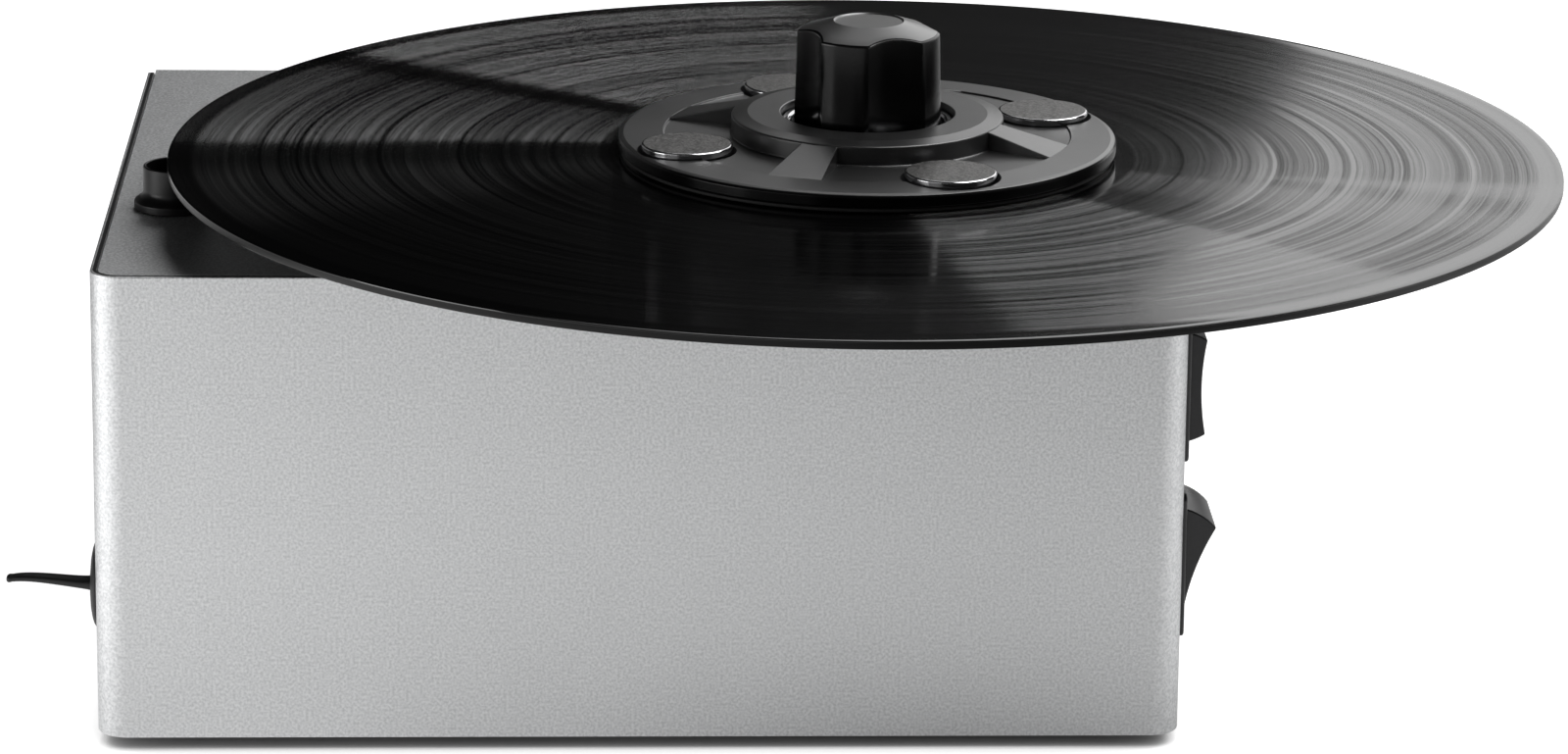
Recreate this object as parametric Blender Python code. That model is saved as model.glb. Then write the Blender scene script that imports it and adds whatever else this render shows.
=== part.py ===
"""Compact vacuum record cleaning machine, as an assembly of separate pieces.

Units are metres and +Z is up. The part stands on z = 0, with the origin under the
middle of its bounding box. Sizes are measured from the casing's own front left
corner, and place() moves them into the part's frame.
"""

import math

import bmesh
import bpy
from mathutils import Matrix, Vector

# Fits shared by all pieces
SEAT_GAP = 0.0003
OVERRUN = 0.002
MERGE = 0.000001
SMOOTH_ANGLE = math.radians(32)

# Casing
BODY_WIDTH = 0.230
BODY_DEPTH = 0.190
SHEET = 0.002
WRAP_CORNER = 0.0065
WRAP_REAR_ROUND = 0.005
COVER_BEND = 0.004
BASE_THICK = 0.002
POST_SIDE = 0.006
FOOT_HEIGHT = 0.003
FOOT_RADIUS = 0.009
FOOT_CHAMFER = 0.0006
FOOT_INSET = 0.024

# Rear screws
SCREW_HEAD_RADIUS = 0.0028
SCREW_HEAD_HEIGHT = 0.0014
SCREW_SHANK_RADIUS = 0.0013
SCREW_LENGTH = 0.007
SCREW_END_INSET = 0.016

# Record and its seat, from the spindle outwards
SPINDLE_FROM_RIGHT = 0.066
SPINDLE_FROM_FRONT = 0.057
RECORD_RADIUS = 0.15075
RECORD_THICK = 0.0018
RECORD_LIFT = 0.0112
RECORD_HOLE = 0.00362
RECORD_RIM_THIN = 0.0004
RECORD_RIM_WIDTH = 0.0045
RECORD_LAND_WIDTH = 0.0015
LABEL_RADIUS = 0.050
LABEL_THICK = 0.0002
MAT_THICK = 0.0019
MAT_RADIUS = 0.051
PLATTER_THICK = 0.006
PLATTER_RADIUS = 0.052
PLATTER_CHAMFER = 0.0008
HUB_BOSS_RADIUS = 0.012

# Spindle, bearing and drive
SHAFT_RADIUS = 0.004
PIN_RADIUS = 0.0033
PIN_TOP = 0.021
PIN_CHAMFER = 0.001
BEARING_RADIUS = 0.009
BEARING_FLANGE_RADIUS = 0.014
BEARING_FLANGE = 0.0015
BEARING_DEPTH = 0.008
BEARING_NUT_RADIUS = 0.013
BEARING_NUT_HEIGHT = 0.004
GEAR_MODULE = 0.0013
GEAR_TEETH = 36
PINION_TEETH = 12
TOOTH_BACKLASH = 0.0005
GEAR_THICK = 0.006
GEAR_HUB_RADIUS = 0.008
GEAR_HUB_HEIGHT = 0.002
PINION_SHAFT_RADIUS = 0.002
PINION_HUB_HEIGHT = 0.002
MOTOR_SHAFT_DEPTH = 0.006
MOTOR_SHAFT_BEARING = 0.0035
MOTOR_RADIUS = 0.0185
MOTOR_CAN_RADIUS = 0.0165
MOTOR_GEARBOX = 0.024
MOTOR_CAN = 0.028
MOTOR_END_RADIUS = 0.006
MOTOR_END = 0.003
BRACKET_SHEET = 0.002
BRACKET_WIDTH = 0.044
BRACKET_DEPTH = 0.036
BRACKET_FLANGE = 0.009
BRACKET_DROP = 0.0022

# Clamp
CLAMP_RADIUS = 0.054
CLAMP_UNDERSIDE = 0.0014
CLAMP_RIM_TOP = 0.0046
CLAMP_EDGE = 0.0012
CLAMP_FLOOR = 0.0042
CLAMP_FLOOR_RADIUS = 0.0442
CLAMP_HUB_RADIUS = 0.0295
CLAMP_HUB_EDGE = 0.0084
CLAMP_HUB_TOP = 0.0090
CLAMP_RING_RADIUS = 0.026
CLAMP_BORE = 0.0188
CLAMP_WEB = 0.003
RIB_HALF_ANGLE = math.radians(8)
RIB_DROP = 0.0002
CLAMP_TURN = math.radians(22)
SEAL_RADIUS = 0.0535
SEAL_WIDTH = 0.003
WEIGHT_RADIUS = 0.0098
WEIGHT_CIRCLE = 0.0424
WEIGHT_TOP = 0.0063
WEIGHT_HEIGHT = 0.0040
WEIGHT_ROUND = 0.0008
WEIGHT_DISH = 0.0002
BUSHING_WALL = 0.0018
BUSHING_HEIGHT = 0.0042
KNOB_BASE_RADIUS = 0.0160
KNOB_TOP_RADIUS = 0.0154
KNOB_SHOULDER = 0.0268
KNOB_TOP = 0.0293
KNOB_CAP_RADIUS = 0.0076
KNOB_CAP_DISH = 0.0003
KNOB_BORE_TOP = 0.0235
FLUTE_RADIUS = 0.016
FLUTE_DEPTH = 0.0027

# Arm socket and suction pipe
SOCKET_FROM_LEFT = 0.0148
SOCKET_FROM_FRONT = 0.0575
SOCKET_HEIGHT = 0.0096
SOCKET_RADIUS = 0.0071
SOCKET_BORE = 0.0063
SOCKET_BORE_DEPTH = 0.0135
SOCKET_FOOT_RADIUS = 0.0091
SOCKET_FOOT_HEIGHT = 0.0024
SOCKET_FOOT_ROUND = 0.0010
SOCKET_STEM_RADIUS = 0.0074
SOCKET_STEM = 0.007
SOCKET_NUT_RADIUS = 0.0105
SOCKET_NUT_HEIGHT = 0.003
PIPE_RADIUS = 0.0048
PIPE_WALL = 0.0010
PIPE_INTO_TANK = 0.010

# Waste tank and drain
TANK_CLEARANCE = 0.0030
TANK_WIDTH = 0.056
TANK_WALL = 0.0020
TANK_CORNER = 0.005
TANK_HEIGHT = 0.076
TANK_HEADROOM = 0.0207
TANK_LID_THICK = 0.0025
TANK_LIP = 0.003
DRAIN_FROM_FRONT = 0.020
DRAIN_HEIGHT = 0.031
DRAIN_BORE = 0.0043
DRAIN_TUBE_RADIUS = 0.0068
PLUG_HEAD_RADIUS = 0.0102
PLUG_RIM = 0.0018
PLUG_DOME = 0.0025
PLUG_SHANK_RADIUS = 0.0040
PLUG_SHANK = 0.006
PLUG_REACH = 0.0218
PLUG_TAIL_THICK = 0.0015
PLUG_TAIL_TIP = 0.001
PLUG_TAIL_WIDTH = 0.0045
PLUG_TAIL_TIP_WIDTH = 0.003
PLUG_TAIL_LIFT = 0.00136
PLUG_TAIL_CREST_SHARE = 0.74

# Vacuum blower, its hose and its duct
HOSE_RADIUS = 0.0095
HOSE_BORE = 0.0075
HOSE_LENGTH = 0.016
BLOWER_RADIUS = 0.030
BLOWER_WALL = 0.002
BLOWER_WIDTH = 0.024
BLOWER_HEADROOM = 0.009
BLOWER_INLET = 0.0075
BLOWER_SHAFT_HOLE = 0.0033
OUTLET_REACH = 0.004
OUTLET_WIDTH = 0.020
OUTLET_HEIGHT = 0.018
DUCT_LENGTH = 0.008
DUCT_WALL = 0.002
IMPELLER_RADIUS = 0.0255
IMPELLER_DISC = 0.0015
IMPELLER_CLEARANCE = 0.0015
IMPELLER_HUB_RADIUS = 0.005
IMPELLER_EYE = 0.009
IMPELLER_SHAFT_RADIUS = 0.0025
IMPELLER_BLADES = 7
BLADE_THICK = 0.0012
BLADE_SWEEP = math.radians(38)
BLADE_WIDTH = 0.013
BLOWER_MOTOR_RADIUS = 0.020
BLOWER_MOTOR_LENGTH = 0.040
BLOWER_MOTOR_CAP = 0.006
BLOWER_MOTOR_CAP_RADIUS = 0.014
BLOWER_SHAFT_DEPTH = 0.010
CRADLE_LENGTH = 0.012
CRADLE_WIDTH = 0.034
CRADLE_REACH = 0.006

# Rocker switches on the right side
SWITCH_FROM_FRONT = 0.0225
SWITCH_WIDTH = 0.025
SWITCH_HEIGHT = 0.032
SWITCH_BEZEL = 0.002
SWITCH_CORNER = 0.0015
SWITCH_BODY_WIDTH = 0.0214
SWITCH_BODY_HEIGHT = 0.0284
SWITCH_BODY_DEPTH = 0.018
LOWER_SWITCH_SHARE = 0.3436
UPPER_SWITCH_SHARE = 0.7297
ROCKER_WIDTH = 0.0195
ROCKER_PIVOT_DEPTH = 0.001
ROCKER_END_OUT = 0.0032
ROCKER_MIDDLE_OUT = 0.0023
ROCKER_HALF_HEIGHT = 0.0115
ROCKER_TILT = math.radians(12)

# Power inlet, fuse drawer and control board
INLET_FROM_RIGHT = 0.036
INLET_HEIGHT = 0.052
INLET_FLANGE_WIDTH = 0.031
INLET_FLANGE_HEIGHT = 0.038
INLET_FLANGE = 0.0025
INLET_BODY_WIDTH = 0.0272
INLET_BODY_HEIGHT = 0.034
INLET_BODY_DEPTH = 0.022
CONNECTOR_WIDTH = 0.0244
CONNECTOR_HEIGHT = 0.0166
CONNECTOR_CHAMFER = 0.0045
CONNECTOR_DEPTH = 0.0175
CONNECTOR_RISE = 0.0068
BLADE_RECESS = 0.005
BLADE_PIN_WIDTH = 0.002
BLADE_PIN_HEIGHT = 0.0042
BLADE_PIN_SPACING = 0.007
BLADE_PIN_STEP = 0.002
FUSE_WIDTH = 0.020
FUSE_HEIGHT = 0.0085
FUSE_DEPTH = 0.016
FUSE_DROP = 0.0112
FUSE_LIP = 0.0012
BOARD_WIDTH = 0.044
BOARD_DEPTH = 0.058
BOARD_THICK = 0.0016
BOARD_FROM_REAR = 0.014
SPACER_RADIUS = 0.0025
SPACER_HEIGHT = 0.006
SPACER_INSET = 0.004
MODULE_WIDTH = 0.030
MODULE_DEPTH = 0.026
MODULE_HEIGHT = 0.014

# Exhaust slots in the back
SLOT_WIDTH = 0.003
SLOT_PITCH = 0.005
SLOT_LENGTH = 0.014
SLOT_COUNT = 4

# Facets
FINE = 64
MEDIUM = 48
ROUND = 32
COARSE = 24
HIDDEN = 16
ARC_STEPS = 5

# Levels and places that follow from the sizes
BODY_HEIGHT = BASE_THICK + SEAT_GAP + TANK_HEIGHT + TANK_HEADROOM + SHEET
DECK_Z = FOOT_HEIGHT + BODY_HEIGHT
DECK_UNDERSIDE = DECK_Z - SHEET
FLOOR_Z = FOOT_HEIGHT + BASE_THICK
BENCH_Z = FLOOR_Z + SEAT_GAP
INNER_LEFT = SHEET + SEAT_GAP
INNER_RIGHT = BODY_WIDTH - SHEET - SEAT_GAP
INNER_REAR = BODY_DEPTH - SHEET - SEAT_GAP
SPINDLE_X = BODY_WIDTH - SPINDLE_FROM_RIGHT
SPINDLE_Y = SPINDLE_FROM_FRONT
RECORD_Z = DECK_Z + RECORD_LIFT
RECORD_TOP = RECORD_Z + RECORD_THICK
PITCH_DIAMETER_SHARE = 0.5
GEAR_RADIUS = GEAR_MODULE * GEAR_TEETH * PITCH_DIAMETER_SHARE
PINION_RADIUS = GEAR_MODULE * PINION_TEETH * PITCH_DIAMETER_SHARE
PINION_Y = SPINDLE_Y + GEAR_RADIUS + PINION_RADIUS
BEARING_TOP = DECK_Z + SEAT_GAP + BEARING_FLANGE
BEARING_BOTTOM = DECK_UNDERSIDE - BEARING_DEPTH
GEAR_TOP = BEARING_BOTTOM - SEAT_GAP
GEAR_BOTTOM = GEAR_TOP - GEAR_THICK
BRACKET_TOP = GEAR_BOTTOM - PINION_HUB_HEIGHT - SEAT_GAP
BRACKET_BOTTOM = BRACKET_TOP - BRACKET_SHEET
MOTOR_TOP = BRACKET_BOTTOM - SEAT_GAP
TANK_LEFT = SHEET + TANK_CLEARANCE
TANK_RIGHT = TANK_LEFT + TANK_WIDTH
TANK_TOP = BENCH_Z + TANK_HEIGHT
BLOWER_Y = INNER_REAR - DUCT_LENGTH - SEAT_GAP - OUTLET_REACH - BLOWER_RADIUS
BLOWER_Z = DECK_UNDERSIDE - BLOWER_HEADROOM - BLOWER_RADIUS
HOSE_X = TANK_RIGHT + SEAT_GAP
BLOWER_X = HOSE_X + HOSE_LENGTH + SEAT_GAP
BLOWER_MOTOR_X = BLOWER_X + BLOWER_WIDTH + SEAT_GAP
LOWER_SWITCH_Z = FOOT_HEIGHT + LOWER_SWITCH_SHARE * BODY_HEIGHT
UPPER_SWITCH_Z = FOOT_HEIGHT + UPPER_SWITCH_SHARE * BODY_HEIGHT
INLET_X = BODY_WIDTH - INLET_FROM_RIGHT
PLUG_X = -SEAT_GAP

# The part's frame: under the middle of the bounding box
ORIGIN_X = (SPINDLE_X + RECORD_RADIUS - PLUG_REACH) / 2
ORIGIN_Y = SPINDLE_Y

# Turns that lay a piece made along local Z along another axis
ALONG_X = (0, math.pi / 2, 0)
ALONG_MINUS_X = (0, -math.pi / 2, 0)
ALONG_Y = (-math.pi / 2, 0, 0)
PROFILE_ALONG_X = (math.pi / 2, 0, math.pi / 2)
PROFILE_ALONG_Y = (math.pi / 2, 0, 0)

# Looks: colour, roughness, metallic
LOOKS = {
    "silver": ((0.62, 0.63, 0.64), 0.45, 0.9),
    "grey": ((0.22, 0.22, 0.23), 0.55, 0.4),
    "black": ((0.015, 0.015, 0.016), 0.4, 0.0),
    "rubber": ((0.012, 0.012, 0.012), 0.75, 0.0),
    "vinyl": ((0.008, 0.008, 0.009), 0.2, 0.0),
    "paper": ((0.55, 0.53, 0.48), 0.8, 0.0),
    "chrome": ((0.75, 0.75, 0.76), 0.15, 1.0),
    "steel": ((0.5, 0.5, 0.52), 0.3, 1.0),
    "brass": ((0.62, 0.45, 0.2), 0.35, 1.0),
    "nylon": ((0.7, 0.69, 0.65), 0.5, 0.0),
    "board": ((0.02, 0.12, 0.05), 0.5, 0.0),
}


def place(x, y, z=0.0):
    """Casing coordinates to the part's frame."""
    return Vector((x - ORIGIN_X, y - ORIGIN_Y, z))


def clear_scene():
    for obj in list(bpy.data.objects):
        bpy.data.objects.remove(obj, do_unlink=True)


def finish(name, look):
    colour, roughness, metallic = LOOKS[look]
    material = bpy.data.materials.new(name)
    material.use_nodes = True
    shader = material.node_tree.nodes["Principled BSDF"]
    shader.inputs["Base Color"].default_value = (*colour, 1)
    shader.inputs["Roughness"].default_value = roughness
    shader.inputs["Metallic"].default_value = metallic
    return material


def add(name, shape, look, at, turn=(0, 0, 0), parent=None):
    """Puts a bmesh into the scene as one named object."""
    bmesh.ops.recalc_face_normals(shape, faces=shape.faces)
    mesh = bpy.data.meshes.new(name)
    shape.to_mesh(mesh)
    shape.free()
    mesh.shade_smooth()
    mesh.set_sharp_from_angle(angle=SMOOTH_ANGLE)
    obj = bpy.data.objects.new(name, mesh)
    bpy.context.scene.collection.objects.link(obj)
    obj.location = at
    obj.rotation_euler = turn
    if parent is not None:
        obj.parent = parent
        obj.location = Vector(at) - parent.location
    if look is not None:
        mesh.materials.append(finish(name + "_finish", look))
    return obj


def guide(name, shape, at, turn=(0, 0, 0)):
    """A cutter or a shape to join, which isn't a piece of the machine."""
    obj = add(name, shape, None, at, turn)
    obj.hide_render = True
    obj.display_type = "WIRE"
    return obj


def axis_empty(name, at):
    empty = bpy.data.objects.new(name, None)
    bpy.context.scene.collection.objects.link(empty)
    empty.location = at
    return empty


def combine(obj, other, operation):
    modifier = obj.modifiers.new(other.name, "BOOLEAN")
    modifier.operation = operation
    modifier.solver = "EXACT"
    modifier.object = other


def cut(obj, *tools):
    for tool in tools:
        combine(obj, tool, "DIFFERENCE")


def join(obj, *others):
    for other in others:
        combine(obj, other, "UNION")


def arc(centre, radius, start, end, steps=ARC_STEPS):
    """Points on an arc, by angles in degrees."""
    points = []
    for step in range(steps + 1):
        angle = math.radians(start + (end - start) * step / steps)
        points.append((centre[0] + radius * math.cos(angle), centre[1] + radius * math.sin(angle)))
    return points


def rounded(low, high, radius, steps=ARC_STEPS):
    """A rectangle with round corners, from its low to its high corner."""
    (x0, y0), (x1, y1) = low, high
    points = arc((x1 - radius, y1 - radius), radius, 0, 90, steps)
    points += arc((x0 + radius, y1 - radius), radius, 90, 180, steps)
    points += arc((x0 + radius, y0 + radius), radius, 180, 270, steps)
    points += arc((x1 - radius, y0 + radius), radius, 270, 360, steps)
    return points


def rectangle(low, high):
    (x0, y0), (x1, y1) = low, high
    return [(x0, y0), (x1, y0), (x1, y1), (x0, y1)]


def centred(width, depth):
    return rectangle((-width / 2, -depth / 2), (width / 2, depth / 2))


def extruded(outline, height):
    """A prism on an outline in local XY, from z = 0 up to its height."""
    shape = bmesh.new()
    face = shape.faces.new([shape.verts.new((x, y, 0)) for x, y in outline])
    top = bmesh.ops.extrude_face_region(shape, geom=[face])["geom"]
    verts = [item for item in top if isinstance(item, bmesh.types.BMVert)]
    bmesh.ops.translate(shape, verts=verts, vec=(0, 0, height))
    return shape


def turned(profile, steps=COARSE):
    """A profile of (radius, z) points spun round local Z; it closes unless it meets the axis."""
    shape = bmesh.new()
    verts = [shape.verts.new((radius, 0, z)) for radius, z in profile]
    edges = [shape.edges.new(pair) for pair in zip(verts, verts[1:])]
    if profile[0][0] > 0:
        edges.append(shape.edges.new((verts[-1], verts[0])))
    bmesh.ops.spin(
        shape, geom=verts + edges, axis=(0, 0, 1), cent=(0, 0, 0), dvec=(0, 0, 0),
        angle=math.tau, steps=steps, use_merge=True, use_duplicate=False,
    )
    bmesh.ops.remove_doubles(shape, verts=shape.verts, dist=MERGE)
    return shape


def rod(radius, height, steps=COARSE):
    return turned([(0, 0), (radius, 0), (radius, height), (0, height)], steps)


def ring(inner, outer, height, steps=COARSE):
    return turned([(inner, 0), (outer, 0), (outer, height), (inner, height)], steps)


def block(name, low, high, look):
    """A box between two corners given in casing coordinates."""
    size = Vector(high) - Vector(low)
    shape = extruded(rectangle((0, 0), (size.x, size.y)), size.z)
    return add(name, shape, look, place(*low)) if look else guide(name, shape, place(*low))


def wrap():
    """The front and both sides, one sheet bent round two corners."""
    rear = BODY_DEPTH - SHEET - SEAT_GAP
    right = BODY_WIDTH - WRAP_CORNER
    inner = WRAP_CORNER - SHEET
    outline = [(0, rear)]
    outline += arc((WRAP_CORNER, WRAP_CORNER), WRAP_CORNER, 180, 270)
    outline += arc((right, WRAP_CORNER), WRAP_CORNER, 270, 360)
    outline += [(BODY_WIDTH, rear), (BODY_WIDTH - SHEET, rear)]
    outline += arc((right, WRAP_CORNER), inner, 360, 270)
    outline += arc((WRAP_CORNER, WRAP_CORNER), inner, 270, 180)
    outline += [(SHEET, rear)]
    obj = add("body_wrap", extruded(outline, BODY_HEIGHT), "silver", place(0, 0, FOOT_HEIGHT))

    top = DECK_Z
    corner = [(rear + OVERRUN, top + OVERRUN), (rear - WRAP_REAR_ROUND, top + OVERRUN)]
    corner += arc((rear - WRAP_REAR_ROUND, top - WRAP_REAR_ROUND), WRAP_REAR_ROUND, 90, 0)
    corner += [(rear + OVERRUN, top - WRAP_REAR_ROUND)]
    length = BODY_WIDTH + 2 * OVERRUN
    cut(obj, guide("cut_wrap_rear", extruded(corner, length), place(-OVERRUN, 0), PROFILE_ALONG_X))

    hole = rod(DRAIN_TUBE_RADIUS + SEAT_GAP, SHEET + 2 * OVERRUN)
    at = place(-OVERRUN, DRAIN_FROM_FRONT, DRAIN_HEIGHT)
    cut(obj, guide("cut_drain", hole, at, ALONG_X))
    for side, height in (("lower", LOWER_SWITCH_Z), ("upper", UPPER_SWITCH_Z)):
        half_y = SWITCH_BODY_WIDTH / 2 + SEAT_GAP
        half_z = SWITCH_BODY_HEIGHT / 2 + SEAT_GAP
        low = (BODY_WIDTH - SHEET - OVERRUN, SWITCH_FROM_FRONT - half_y, height - half_z)
        high = (BODY_WIDTH + OVERRUN, SWITCH_FROM_FRONT + half_y, height + half_z)
        cut(obj, block("cut_switch_" + side, low, high, None))


def rear_screw_places():
    """X and Z of the screws that hold the back to the two rear posts."""
    x = INNER_LEFT + POST_SIDE / 2
    low = FOOT_HEIGHT + SCREW_END_INSET
    high = DECK_Z - SCREW_END_INSET
    return [(x, low), (BODY_WIDTH - x, low), (x, high), (BODY_WIDTH - x, high)]


def slot_places():
    first = BLOWER_X + BLOWER_WIDTH / 2 - SLOT_PITCH * (SLOT_COUNT - 1) / 2
    return [first + SLOT_PITCH * index for index in range(SLOT_COUNT)]


def cover():
    """The deck and the back, one sheet folded at the rear."""
    under = DECK_UNDERSIDE
    inner = COVER_BEND - SHEET
    bend = (BODY_DEPTH - COVER_BEND, DECK_Z - COVER_BEND)
    profile = [(INNER_LEFT, under), (INNER_LEFT, DECK_Z)]
    profile += arc(bend, COVER_BEND, 90, 0)
    profile += [(BODY_DEPTH, FOOT_HEIGHT), (BODY_DEPTH - SHEET, FOOT_HEIGHT)]
    profile += arc(bend, inner, 0, 90)
    width = INNER_RIGHT - INNER_LEFT
    obj = add("deck_cover", extruded(profile, width), "grey", place(INNER_LEFT, 0), PROFILE_ALONG_X)

    radius = WRAP_CORNER - SHEET - SEAT_GAP
    rear = BODY_DEPTH + OVERRUN
    plan = [(INNER_LEFT, rear)]
    plan += arc((INNER_LEFT + radius, INNER_LEFT + radius), radius, 180, 270)
    plan += arc((INNER_RIGHT - radius, INNER_LEFT + radius), radius, 270, 360)
    plan += [(INNER_RIGHT, rear)]
    plan_shape = extruded(plan, BODY_HEIGHT + 2 * OVERRUN)
    combine(obj, guide("plan_of_cover", plan_shape, place(0, 0, FOOT_HEIGHT - OVERRUN)), "INTERSECT")

    top = DECK_Z - WRAP_REAR_ROUND - SEAT_GAP
    low = (0, BODY_DEPTH - SHEET, FOOT_HEIGHT)
    join(obj, block("back_flange", low, (BODY_WIDTH, BODY_DEPTH, top), None))

    bearing = rod(BEARING_RADIUS + SEAT_GAP, SHEET + 2 * OVERRUN)
    cut(obj, guide("cut_bearing", bearing, place(SPINDLE_X, SPINDLE_Y, under - OVERRUN)))
    stem = rod(SOCKET_STEM_RADIUS + SEAT_GAP, SHEET + 2 * OVERRUN)
    cut(obj, guide("cut_socket", stem, place(SOCKET_FROM_LEFT, SOCKET_FROM_FRONT, under - OVERRUN)))

    back = BODY_DEPTH - SHEET - OVERRUN
    half_x = INLET_BODY_WIDTH / 2 + SEAT_GAP
    half_z = INLET_BODY_HEIGHT / 2 + SEAT_GAP
    low = (INLET_X - half_x, back, INLET_HEIGHT - half_z)
    cut(obj, block("cut_inlet", low, (INLET_X + half_x, rear, INLET_HEIGHT + half_z), None))
    for index, x in enumerate(slot_places()):
        low = (x - SLOT_WIDTH / 2, back, BLOWER_Z - SLOT_LENGTH / 2)
        high = (x + SLOT_WIDTH / 2, rear, BLOWER_Z + SLOT_LENGTH / 2)
        cut(obj, block(f"cut_slot_{index + 1}", low, high, None))
    for index, (x, z) in enumerate(rear_screw_places()):
        hole = rod(SCREW_SHANK_RADIUS + SEAT_GAP, SHEET + 2 * OVERRUN, HIDDEN)
        cut(obj, guide(f"cut_back_{index + 1}", hole, place(x, back, z), ALONG_Y))


def base():
    """The flat bottom plate inside the wrap."""
    radius = WRAP_CORNER - SHEET - SEAT_GAP
    outline = rounded((INNER_LEFT, INNER_LEFT), (INNER_RIGHT, INNER_REAR), radius)
    add("base_plate", extruded(outline, BASE_THICK), "steel", place(0, 0, FOOT_HEIGHT))


def feet():
    height = FOOT_HEIGHT - SEAT_GAP
    profile = [
        (0, 0), (FOOT_RADIUS - FOOT_CHAMFER, 0), (FOOT_RADIUS, FOOT_CHAMFER),
        (FOOT_RADIUS, height), (0, height),
    ]
    for end, y in (("front", FOOT_INSET), ("rear", BODY_DEPTH - FOOT_INSET)):
        for side, x in (("left", FOOT_INSET), ("right", BODY_WIDTH - FOOT_INSET)):
            add(f"foot_{end}_{side}", turned(profile, HIDDEN), "rubber", place(x, y))


def posts():
    """Four square posts tie the base to the deck; the rear two take the back's screws."""
    bend = (WRAP_CORNER - SHEET) * (1 - math.sqrt(2) / 2)
    front = INNER_LEFT + bend
    height = DECK_UNDERSIDE - SEAT_GAP - BENCH_Z
    under_bend = height - (COVER_BEND - SHEET)
    ends = {
        "front": (front, front, height),
        "rear": (INNER_LEFT, INNER_REAR - POST_SIDE, under_bend),
    }
    for end, (inset, y, height) in ends.items():
        for side, x in (("left", inset), ("right", BODY_WIDTH - inset - POST_SIDE)):
            low = (x, y, BENCH_Z)
            high = (x + POST_SIDE, y + POST_SIDE, BENCH_Z + height)
            post = block(f"post_{end}_{side}", low, high, "steel")
            if end == "rear":
                drill_post(post, side)


def drill_post(post, side):
    depth = SCREW_LENGTH - SHEET + SEAT_GAP
    for index, (x, z) in enumerate(rear_screw_places()):
        if (x < BODY_WIDTH / 2) == (side == "left"):
            hole = rod(SCREW_SHANK_RADIUS + SEAT_GAP, depth + OVERRUN, HIDDEN)
            at = place(x, INNER_REAR - depth, z)
            cut(post, guide(f"cut_post_{side}_{index + 1}", hole, at, ALONG_Y))


def rear_screws():
    profile = [
        (0, 0), (SCREW_SHANK_RADIUS, 0), (SCREW_SHANK_RADIUS, SCREW_LENGTH),
        (SCREW_HEAD_RADIUS, SCREW_LENGTH), (SCREW_HEAD_RADIUS, SCREW_LENGTH + SCREW_HEAD_HEIGHT / 2),
        (SCREW_HEAD_RADIUS / 2, SCREW_LENGTH + SCREW_HEAD_HEIGHT), (0, SCREW_LENGTH + SCREW_HEAD_HEIGHT),
    ]
    y = BODY_DEPTH + SEAT_GAP - SCREW_LENGTH
    for index, (x, z) in enumerate(rear_screw_places()):
        add(f"rear_screw_{index + 1}", turned(profile, HIDDEN), "steel", place(x, y, z), ALONG_Y)


def platter(axis):
    bottom = RECORD_Z - SEAT_GAP - MAT_THICK - SEAT_GAP - PLATTER_THICK
    boss = bottom - BEARING_TOP - SEAT_GAP
    bore = SHAFT_RADIUS + SEAT_GAP
    profile = [
        (bore, -boss), (HUB_BOSS_RADIUS, -boss), (HUB_BOSS_RADIUS, 0),
        (PLATTER_RADIUS - PLATTER_CHAMFER, 0), (PLATTER_RADIUS, PLATTER_CHAMFER),
        (PLATTER_RADIUS, PLATTER_THICK), (bore, PLATTER_THICK),
    ]
    add("platter", turned(profile, ROUND), "grey", place(SPINDLE_X, SPINDLE_Y, bottom), parent=axis)
    mat = ring(bore, MAT_RADIUS, MAT_THICK, ROUND)
    at = place(SPINDLE_X, SPINDLE_Y, RECORD_Z - SEAT_GAP - MAT_THICK)
    add("platter_mat", mat, "rubber", at, parent=axis)


def spindle(axis):
    """The shaft through the bearing, with a thinner pin for the record and the clamp."""
    shoulder = RECORD_Z - SEAT_GAP
    top = RECORD_TOP + PIN_TOP
    profile = [
        (0, GEAR_BOTTOM), (SHAFT_RADIUS, GEAR_BOTTOM), (SHAFT_RADIUS, shoulder), (PIN_RADIUS, shoulder),
        (PIN_RADIUS, top - PIN_CHAMFER), (PIN_RADIUS - PIN_CHAMFER, top), (0, top),
    ]
    add("spindle", turned(profile), "steel", place(SPINDLE_X, SPINDLE_Y), parent=axis)


def bearing():
    inner = SHAFT_RADIUS + SEAT_GAP
    profile = [
        (inner, BEARING_BOTTOM), (BEARING_RADIUS, BEARING_BOTTOM), (BEARING_RADIUS, DECK_Z + SEAT_GAP),
        (BEARING_FLANGE_RADIUS, DECK_Z + SEAT_GAP), (BEARING_FLANGE_RADIUS, BEARING_TOP), (inner, BEARING_TOP),
    ]
    add("spindle_bearing", turned(profile), "brass", place(SPINDLE_X, SPINDLE_Y))
    nut("bearing_nut", BEARING_NUT_RADIUS, BEARING_RADIUS, BEARING_NUT_HEIGHT, (SPINDLE_X, SPINDLE_Y))


def nut(name, radius, thread, height, centre):
    """A hexagon nut tight under the deck."""
    bottom = DECK_UNDERSIDE - SEAT_GAP - height
    obj = add(name, extruded(hexagon(radius), height), "steel", place(*centre, bottom))
    hole = rod(thread + SEAT_GAP, height + 2 * OVERRUN)
    cut(obj, guide("cut_" + name, hole, place(*centre, bottom - OVERRUN)))


def hexagon(radius):
    return arc((0, 0), radius, 0, 300, 5)


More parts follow.
